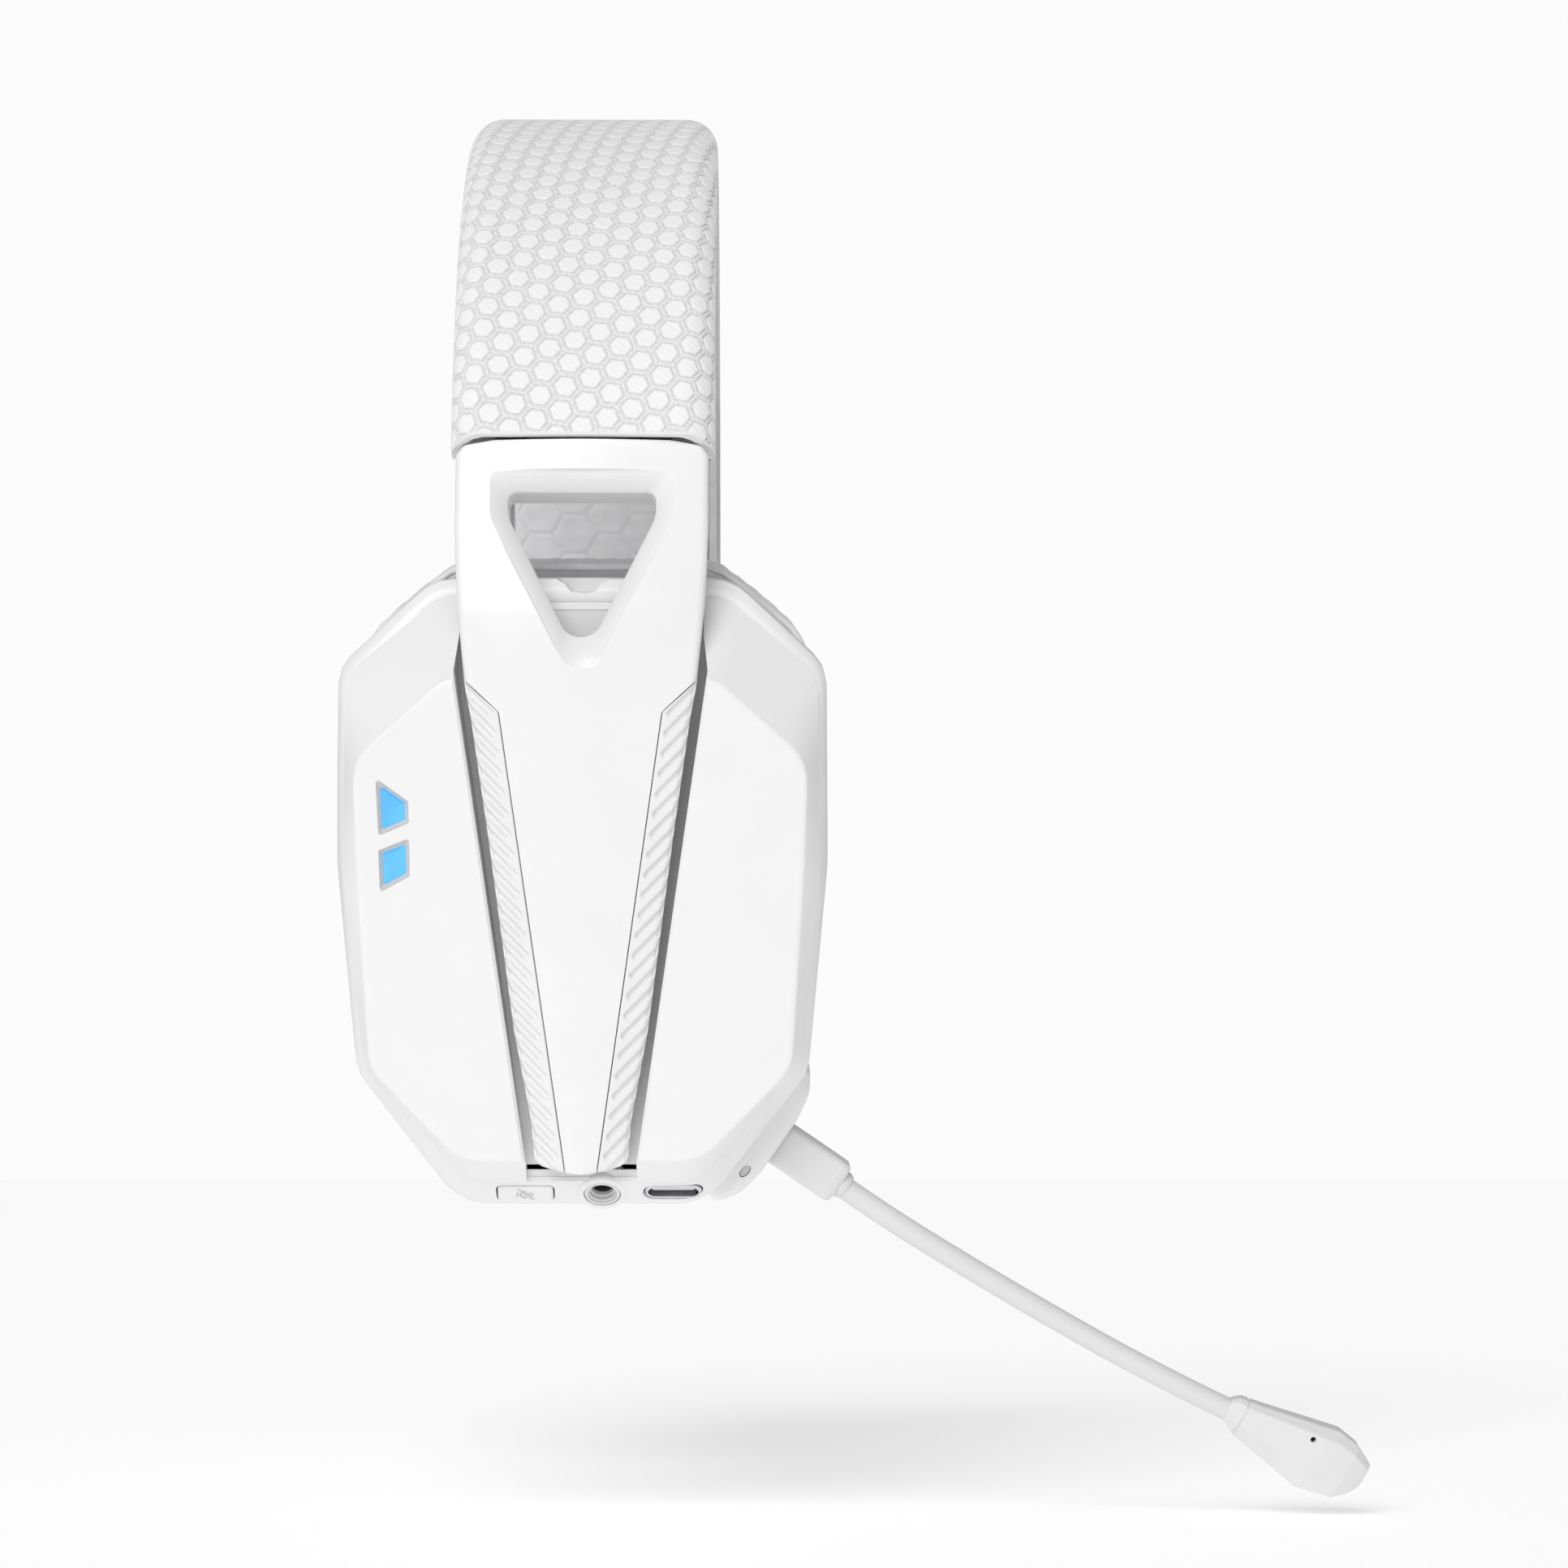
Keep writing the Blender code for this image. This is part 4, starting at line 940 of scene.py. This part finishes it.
def add_rear_shell(name, cup):
    """Open shell behind the face plate, with a notch at the top."""
    bevel, rim = polar(BEVEL), polar(RIM)
    edge, below = shifted(bevel_depth, SEAM_GAP), shifted(bevel_depth, SEAM_GAP + 0.15)
    rings = drawn(bevel, (0.2, edge), (0.0, below))
    rings += eased(bevel, below, rim, shifted(rim_depth, 0.5), 0.35, 8)
    for draw, drop in ((0.12, 0.35), (0.0, 0.9), (0.0, 2.5)):
        rings += drawn(rim, (draw, shifted(rim_depth, drop)))
    for draw, height in ((0.0, 0.7), (0.25, 0.2), (0.7, 0.0), (3.0, 0.0), (3.0, 4.0)):
        rings += drawn(rim, (draw, REAR_FACE + height))
    rings += drawn(bevel, (2.0, edge))
    shell = piece(name + "_housing", loft(rings, closed=True), cup, SHELL_WHITE, 30)
    notch = rounded([(-4.0, 55.0, 0), (-4.0, 48.4, 0.4), (-2.9, 47.9, 0.5), (-1.9, 46.5, 0.9),
                     (1.9, 46.5, 0.9), (2.9, 47.9, 0.5), (4.0, 48.4, 0.4), (4.0, 55.0, 0)], 4)
    carve(shell, prism(notch, -22.0, -8.0), cup)
    return shell


def port_axes(cup, forwards):
    return slanted_axes(cup, (forwards, -48.1, -7.25), (1, 0, 0), (0, -0.70, 0.715))


def add_button(name, shell, cup, pictogram):
    """Push button with a rounded edge in a snug opening."""
    base = port_axes(cup, PORT_PLACES["button"])
    carve(shell, prism(box(4.62, 2.05, 0.95), -8, 3), base)
    cap = pillow(box(4.36, 1.82, 0.8), -3.0, 0.25, 0.35)
    add(name + "_cap", cap, base, SHELL_WHITE, 30, name, "white_plastic", name)
    turn = base @ Matrix.Rotation(math.radians(-90), 4, "Z") @ Matrix.Diagonal((1.5, 1.5, 1.0, 1.0))
    add(name + "_mark", together(*pictogram), turn, BEZEL_GREY, 35, name, "light_grey_plastic")


def inset_box(outline, distance):
    """Rounded rectangle about the origin drawn in by the same distance on every side."""
    return [(x - math.copysign(distance, x), y - math.copysign(distance, y)) for x, y in outline]


def bar_mark(x0, y0, x1, y1, width, high=0.33):
    """Thin raised line of a pictogram, half a width longer at each end."""
    run = Vector((x1 - x0, y1 - y0)).normalized() * width / 2
    u, v = run
    corners = [(x0 - u - v, y0 - v + u), (x1 + u - v, y1 + v + u),
               (x1 + u + v, y1 + v - u), (x0 - u + v, y0 - v - u)]
    return prism(corners, 0.2, high)


def arc(radius, start, end, count, lift=0.0):
    """Points of an arc between two angles in degrees."""
    turns = np.radians(np.linspace(start, end, count))
    return [(radius * math.cos(a), lift + radius * math.sin(a)) for a in turns]


def chain(points, width):
    """Pictogram line through points."""
    return [bar_mark(*p, *q, width) for p, q in zip(points, points[1:])]


def microphone_mark():
    """Generic struck-out microphone."""
    capsule = prism(rectangle(-0.28, 0.28, -0.15, 0.85, 0.27), 0.2, 0.33)
    cradle = chain(arc(0.55, 180, 360, 9, 0.05), 0.12)
    stand = [bar_mark(0, -0.55, 0, -0.85, 0.12), bar_mark(-0.35, -0.9, 0.35, -0.9, 0.12)]
    return [capsule, *cradle, *stand, bar_mark(-0.95, -0.75, 0.85, 0.8, 0.12, 0.36)]


def power_mark():
    """Generic broken ring with a stroke."""
    return chain(arc(0.7, 125, 415, 18), 0.14) + [bar_mark(0, 0.15, 0, 0.9, 0.14)]


def add_jack(shell, cup):
    """Headphone socket in a round boss."""
    jack = port_axes(cup, PORT_PLACES["jack"])
    carve(shell, spindle(((4.3, -3.0), (4.1, -0.2), (3.85, 0.15), (3.4, 0.25)), 48), jack, "UNION")
    carve(shell, disc(2.95, -9, 3), jack)
    ring = turned([(2.85, -9.0), (2.85, 0.05), (2.7, 0.2), (2.35, 0.2), (2.25, -0.15), (2.05, -0.3),
                   (2.05, -0.9), (1.75, -1.0), (1.75, -8.0), (0.05, -8.0), (0.05, -9.0)])
    add("jack_ring", ring, jack, MIC_GREY, 30, "right_cup", "port_metal", "jack_socket")
    spring = turned([(1.72, -7.9), (1.72, -1.6), (1.5, -1.6), (1.5, -7.9)], 40)
    add("jack_contact", spring, jack, DARK, 35, "right_cup", "dark_plastic")


def add_usb(shell, cup):
    """Charging socket: a metal shield round a tongue."""
    usb = port_axes(cup, PORT_PLACES["usb"])
    hole, mouth = box(4.7, 1.8, 1.75), box(5.0, 2.1, 2.0)
    carve(shell, stack((hole, -8), (hole, -0.3), (mouth, 0.15), (mouth, 3)), usb)
    outer, inner = box(4.5, 1.6, 1.55), box(4.1, 1.2, 1.15)
    shield = stack((outer, -7.0), (outer, -0.35), (inset_box(outer, 0.12), -0.2),
                   (inset_box(inner, -0.1), -0.2), (inner, -0.3), (inner, -6.0),
                   (inset_box(inner, 1.1), -6.0))
    add("usb_shield", shield, usb, BRIGHT, 30, "right_cup", "port_metal", "usb_socket")
    tongue = prism(box(3.3, 0.35, 0.2), -5.9, -0.9)
    add("usb_tongue", tongue, usb, MIC_GREY, 35, "right_cup", "light_grey_plastic")


def ellipse(x, y):
    return [(x * a, y * b) for a, b in circle(1.0, 32)]


def add_right_ports(shell, cup):
    add_jack(shell, cup)
    add_usb(shell, cup)
    lens = slanted_axes(cup, (*STATUS_PLACE, MIC_DEPTH + BULGE_HALF), (1, 1, 0), (0, 0, 1))
    carve(shell, prism(ellipse(1.12, 0.66), -5, 3), lens)
    window = prism(ellipse(1.02, 0.56), -2.0, -0.3)
    add("status_window", window, lens, BEZEL_GREY, 35, "right_cup", "light_grey_plastic", "status_lens")
    add_button("mute_button", shell, cup, microphone_mark())


def in_plane(degrees):
    """Direction in the cup's plane."""
    angle = math.radians(degrees)
    return Vector((math.cos(angle), math.sin(angle), 0))


def mic_axes(cup):
    return slanted_axes(cup, (*MIC_PLACE, MIC_DEPTH), (0, 0, 1), in_plane(MIC_ANGLE))


def add_mic_bulge(shell, cup):
    """Swelling of the housing round the microphone's socket, with softened edges."""
    base = mic_axes(cup)
    side = slanted_axes(base, (0, 0, 0), (0, 0, 1), (1, 0, 0))
    half = [(-5.6, 12.8, 0), (-3.1, 13.2, 2.0), (-0.8, 9.6, 6.0), (0.0, 5.0, 4.0)]
    outline = rounded(half + [(along, -across, radius) for along, across, radius in reversed(half)])
    rings = []
    for depth, draw in ((-6.4, 1.2), (-6.2, 0.5), (-5.6, 0.0), (4.6, 0.0), (5.6, 0.35), (6.15, 0.9),
                        (BULGE_HALF, 1.6)):
        rings.append([(x - draw if x > -5 else x, y * (1 - draw / 13.0), depth) for x, y in outline])
    carve(shell, loft(rings), side, "UNION")
    carve(shell, prism(box(4.4, 5.0, 1.0), -10, -1), base, "UNION")
    hole, mouth = box(3.3, 3.8, 1.1), box(3.6, 4.1, 1.3)
    carve(shell, stack((hole, -14), (hole, -0.4), (mouth, 0.05), (mouth, 3)), base)


def add_left_controls(shell, cup):
    """Power button, and a knurled wheel half sunk in the housing."""
    carve(shell, prism(rectangle(-46, -22, -29.2, -10.8, 1.0), -20.2, -15.8), cup)
    count = 4 * WHEEL_TEETH
    notches = [0.32 if i % 4 in (0, 1) else 0.0 for i in range(count)]
    rings = []
    for height, draw in ((-1.7, 0.3), (-1.35, 0.0), (1.35, 0.0), (1.7, 0.3)):
        reach = [WHEEL_RADIUS - draw - notch for notch in notches]
        rings.append([(x * r, y * r, height) for (x, y), r in zip(circle(1.0, count), reach)])
    rings += [lifted(circle(1.6, count), height) for height in (1.7, -1.7)]
    base = slanted_axes(cup, WHEEL_PLACE, (1, 0, 0), (0, 0, 1))
    add("knurled_wheel", loft(rings, closed=True), base, MIC_GREY, 30,
        "volume_wheel", "light_grey_plastic", "volume_wheel")
    add_button("power_button", shell, cup, power_mark())


# Ear cushions

def cushion_start(cup):
    """Closed ring a little smaller than the finished cushion."""
    outer, inner = polar(CUSHION, 96), polar(EAR_OPENING, 96)
    rings = drawn(outer, (3.2, -27.8), (1.7, -31.0), (1.5, -36.0), (2.0, -41.0), (4.0, -44.0), (7.0, -45.2))
    rings += drawn(inner, (-5.0, -45.2), (-2.6, -43.6), (-1.4, -40.0), (-1.2, -34.0), (-1.4, -28.2))
    return piece("cushion_start", loft(rings, closed=True), cup)


def inflate(item, voxel=4.2, pressure=4.0, cap=3.0, frames=20):
    """Swells a closed mesh as a stuffed cover with the cloth simulation, each point moving at most cap."""
    remesh = item.modifiers.new("even", "REMESH")
    remesh.mode = "VOXEL"
    remesh.voxel_size = voxel * MM
    settle(item, 180)
    start = np.array([v.co for v in item.data.vertices])
    cloth = item.modifiers.new("stuffing", "CLOTH")
    cloth.settings.use_pressure = True
    cloth.settings.uniform_pressure_force = pressure
    cloth.settings.effector_weights.gravity = 0
    cloth.point_cache.frame_start = 1
    cloth.point_cache.frame_end = frames
    for number in range(1, frames + 1):
        bpy.context.scene.frame_set(number)
    settle(item, 180)
    bpy.context.scene.frame_set(1)
    travel = np.array([v.co for v in item.data.vertices]) - start
    length = np.linalg.norm(travel, axis=1, keepdims=True)
    limit = np.minimum(1.0, cap * MM / np.maximum(length, 1e-9))
    item.data.vertices.foreach_set("co", (start + travel * limit).ravel())
    item.data.update()
    smooth = item.modifiers.new("smooth", "SUBSURF")
    smooth.levels = smooth.render_levels = 2
    settle(item, 180)


def cushion_swell(local):
    """How far points of the cushion move outwards: creased all round, tucked in at both seams."""
    x, y, z = local.T
    around = np.arctan2(y / CUSHION_HALVES[1], x / CUSHION_HALVES[0])
    fold = np.sin(around * 46 + 2.2 * np.sin(around * 7) + z * 0.9)
    second = np.sin(around * 31 - z * 1.7 + 1.3 * np.sin(around * 5))
    crease = 0.16 * fold * second * np.sin(math.pi * np.clip((z + 44.5) / 17.0, 0.02, 1))
    tuck = 0.9 * np.exp(-((z + 28.6) / 0.8) ** 2) + 0.5 * np.exp(-((z + 43.4) / 0.5) ** 2)
    return crease - tuck


def add_cushions():
    """Simulates one cushion, adds its creases and seams, and mirrors it."""
    cup = cup_axes(-1)
    start = cushion_start(cup)
    inflate(start)
    points = np.array([v.co for v in start.data.vertices]) / MM
    normals = np.array([v.normal for v in start.data.vertices])
    faces = [tuple(p.vertices) for p in start.data.polygons]
    bpy.data.objects.remove(start, do_unlink=True)
    points += normals * cushion_swell(moved(points, cup.inverted()))[:, None]
    local = moved(points, cup.inverted())
    local[:, 2] = np.clip(local[:, 2], *CUSHION_LIMITS)
    points = moved(local, cup)
    for name, side in SIDES.items():
        placed = points * np.array([1, -side, 1])
        cushion = piece(name + "_cushion", (placed.tolist(), faces), None, CUSHION_FABRIC, 180)
        place(cushion, name + "_cup", "cushion_fabric", name + "_ear_cushion")
        add_piping(name, side)


def add_piping(name, side):
    """Corded seam where the cushion meets the housing."""
    rings = []
    for x, y in inset(polar(CUSHION, 120), 2.8):
        reach = math.hypot(x, y)
        rings.append([(x + x / reach * a, y + y / reach * a, -28.3 + b) for a, b in circle(0.62, 10)])
    add(name + "_cushion_piping", loft(rings, closed=True), cup_axes(side), CUSHION_FABRIC, 60,
        name + "_cup", "cushion_fabric")


# Microphone

BOOM_POINTS = [(41.2, -48.9), (51.0, -55.5), (66.5, -65.0), (82.7, -74.4), (94.3, -80.6), (103.2, -85.05)]
HEAD_ANGLE = -28.0
HEAD_START = (103.16, -85.04)


def tube(route, radius, sides):
    """Round tube along points that lie in one plane of the cup."""
    points = [Vector(p) for p in route]
    rings = []
    for i, centre in enumerate(points):
        run = points[min(i + 1, len(points) - 1)] - points[max(i - 1, 0)]
        across = Vector((-run.y, run.x, 0)).normalized()
        rings.append([tuple(centre + across * a + Vector((0, 0, b))) for a, b in circle(radius, sides)])
    return loft(rings)


def add_microphone(cup):
    """Plug, collar and curved sleeve of the boom, then the head."""
    base = mic_axes(cup)
    stations = [(-7.0, 2.9, 3.4, 0.9), (-0.4, 2.9, 3.4, 0.9), (0.25, 3.0, 3.5, 1.0), (10.6, 3.0, 3.5, 1.0),
                (10.75, 2.92, 3.42, 0.95), (10.9, 3.0, 3.5, 1.0), (11.3, 2.9, 3.4, 1.0),
                (11.8, 2.45, 2.95, 1.0)]
    barrel = stack(*[(box(x, y, radius, 7), at) for at, x, y, radius in stations])
    add("mic_plug_body", barrel, base, MIC_GREY, 28, "mic", "light_grey_plastic", "mic_barrel")
    collar = spindle(((2.35, 11.5), (2.35, 12.2), (2.15, 12.9), (1.95, 13.2)))
    add("boom_collar", collar, base, BOOM_GREY, 30, "mic", "boom_rubber")
    route = smooth_route([(*p, MIC_DEPTH) for p in BOOM_POINTS], 20)
    boom = piece("boom_sleeve", tube(route, 1.83, 28), cup, BOOM_GREY, 60)
    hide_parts("mic_boom_lower", "mic_boom_upper")
    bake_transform(boom)
    add_mic_head(cup)


def head_outline(top, bottom, half):
    """Eight-sided outline of the head, wider at the face than at the back."""
    facet, low_facet = 0.30 * top, 0.36 * (top - bottom)
    side = [(half, -top + facet), (half, -bottom - low_facet), (half * 0.45, -bottom)]
    corners = side + [(-x, y) for x, y in reversed(side)] + [(-half * 0.62, -top), (half * 0.62, -top)]
    return chamfered(corners, 0.16)


def add_mic_head(cup):
    """Faceted head: a flat face with bevelled long edges, narrowing at both ends."""
    base = slanted_axes(cup, (*HEAD_START, MIC_DEPTH), (0, 0, 1), in_plane(HEAD_ANGLE))
    stations = [(0.0, 2.0, -1.7, 1.8), (0.9, 2.7, -1.9, 2.2), (1.4, 2.95, -2.4, 2.45),
                (2.4, 3.05, -2.97, 2.7), (2.5, 2.9, -2.82, 2.55), (2.75, 2.9, -2.82, 2.55),
                (2.85, 3.1, -3.05, 2.75), (4.9, 3.4, -3.45, 3.1), (15.5, 5.26, -5.75, 3.9),
                (17.8, 5.66, -5.3, 3.9), (21.3, 4.98, -4.68, 3.6), (23.4, 3.76, -3.1, 2.9),
                (24.6, 3.05, -1.3, 2.2)]
    shape = stack(*[(head_outline(top, bottom, half), at) for at, top, bottom, half in stations])
    head = piece("mic_head_body", shape, base, MIC_GREY, 12)
    hole = slanted_axes(base, (0, -2.6, 14.1), (0, 0, 1), (1, 0, 0))
    carve(head, spindle(((0.42, 1.0), (0.42, 3.55), (0.62, 3.95), (0.62, 5.0))), hole)
    capsule = slanted_axes(base, (0, -1.5, 14.0), (0, 0, 1), (1, 0, 0))
    carve(head, disc(2.95, -1.2, 2.6), capsule)
    settle(head, 12)
    place(head, "mic_tip", "light_grey_plastic", "mic_head", "mic_head_cover")


# The nodes that keep their CAD shape

def finish_frame():
    """Detailed materials on the CAD nodes that still show."""
    board = circuit_board("circuit_board")
    finishes = {"headband_frame": DARK, "spring_band": STEEL, "main_board": board, "mic_socket": DARK,
                "battery": metal("battery_foil", (0.5, 0.5, 0.52), 0.4), "wheel_encoder": DARK,
                "mic_plug_pin": BRIGHT, "mic_capsule": DARK}
    paired = {"slider_guide": DARK, "slider_strip": STEEL, "hinge_pin": STEEL, "hinge_bracket": STEEL,
              "baffle": DARK, "driver_frame": DARK, "driver_magnet": MAGNET,
              "diaphragm": thin_film("diaphragm_film"), "speaker_cloth": SPEAKER_CLOTH, "light_board": board}
    finishes.update({f"{side}_{name}": finish for side in SIDES for name, finish in paired.items()})
    for name, finish in finishes.items():
        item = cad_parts[name]
        item.data.materials.clear()
        item.data.materials.append(finish)


def add_cup(name, side):
    cup = cup_axes(side)
    add_face_plate(name, cup)
    shell = add_rear_shell(name, cup)
    if name == "right":
        add_mic_bulge(shell, cup)
        add_right_ports(shell, cup)
    else:
        add_left_controls(shell, cup)
    settle(shell, 30)
    place(shell, name + "_cup", "white_plastic", name + "_rear_shell")


# Studio

AMBIENT = 0.38
BACKGROUND = 0.97
KEY = 1.55
KEY_SPREAD = 35.0
KEY_DIRECTION = (0.25, 0.80, -0.55)
CAMERA_PLACE = (0.0259, -0.784, -0.161)
CAMERA_AIM = (0.0316, -0.084, -0.10625)
FOCAL_LENGTH = 104.3
FLOOR_HALF = 6000.0
FLOOR_GLOW = 0.36


def add_camera():
    camera = bpy.data.cameras.new("camera")
    camera.lens = FOCAL_LENGTH
    camera.sensor_width = 36.0
    item = in_scene("camera", camera)
    item.location = CAMERA_PLACE
    aim = Vector(CAMERA_AIM) - item.location
    item.rotation_euler = aim.to_track_quat("-Z", "Y").to_euler()
    bpy.context.scene.camera = item


def add_stage():
    """Pale floor with soft light from all round."""
    world = bpy.data.worlds.new("studio")
    bpy.context.scene.world = world
    world.use_nodes = True
    light = world.node_tree.nodes["Background"]
    light.inputs["Color"].default_value = (1, 1, 1, 1)
    shown = world.node_tree.nodes.new("ShaderNodeLightPath").outputs["Is Camera Ray"]
    strength = world.node_tree.nodes.new("ShaderNodeMapRange")
    strength.inputs["To Min"].default_value = AMBIENT
    strength.inputs["To Max"].default_value = BACKGROUND
    world.node_tree.links.new(shown, strength.inputs["Value"])
    world.node_tree.links.new(strength.outputs["Result"], light.inputs["Strength"])
    bpy.context.scene.view_settings.view_transform = "Standard"
    lowest = CAD_BOX[0][2] / MM - 3.0
    floor = piece("floor", prism(box(FLOOR_HALF, FLOOR_HALF), lowest - 5, lowest))
    pale = Finish("pale_floor", (0.93, 0.93, 0.93), 0.8, Emission_Color=(1, 1, 1, 1),
                  Emission_Strength=FLOOR_GLOW)
    pale.vary_roughness(pale.noise(3.0), 0.75, 0.85)
    floor.data.materials.append(pale.material)
    sun = bpy.data.lights.new("key", "SUN")
    sun.energy = KEY
    sun.angle = math.radians(KEY_SPREAD)
    item = in_scene("key", sun)
    item.rotation_euler = Vector(KEY_DIRECTION).to_track_quat("-Z", "Y").to_euler()


add_camera()
add_stage()
add_cover()
add_pad()
for side_name, side_sign in SIDES.items():
    add_arm(side_name, side_sign)
    add_cup(side_name, side_sign)
add_cushions()
add_microphone(cup_axes(-1))
finish_frame()
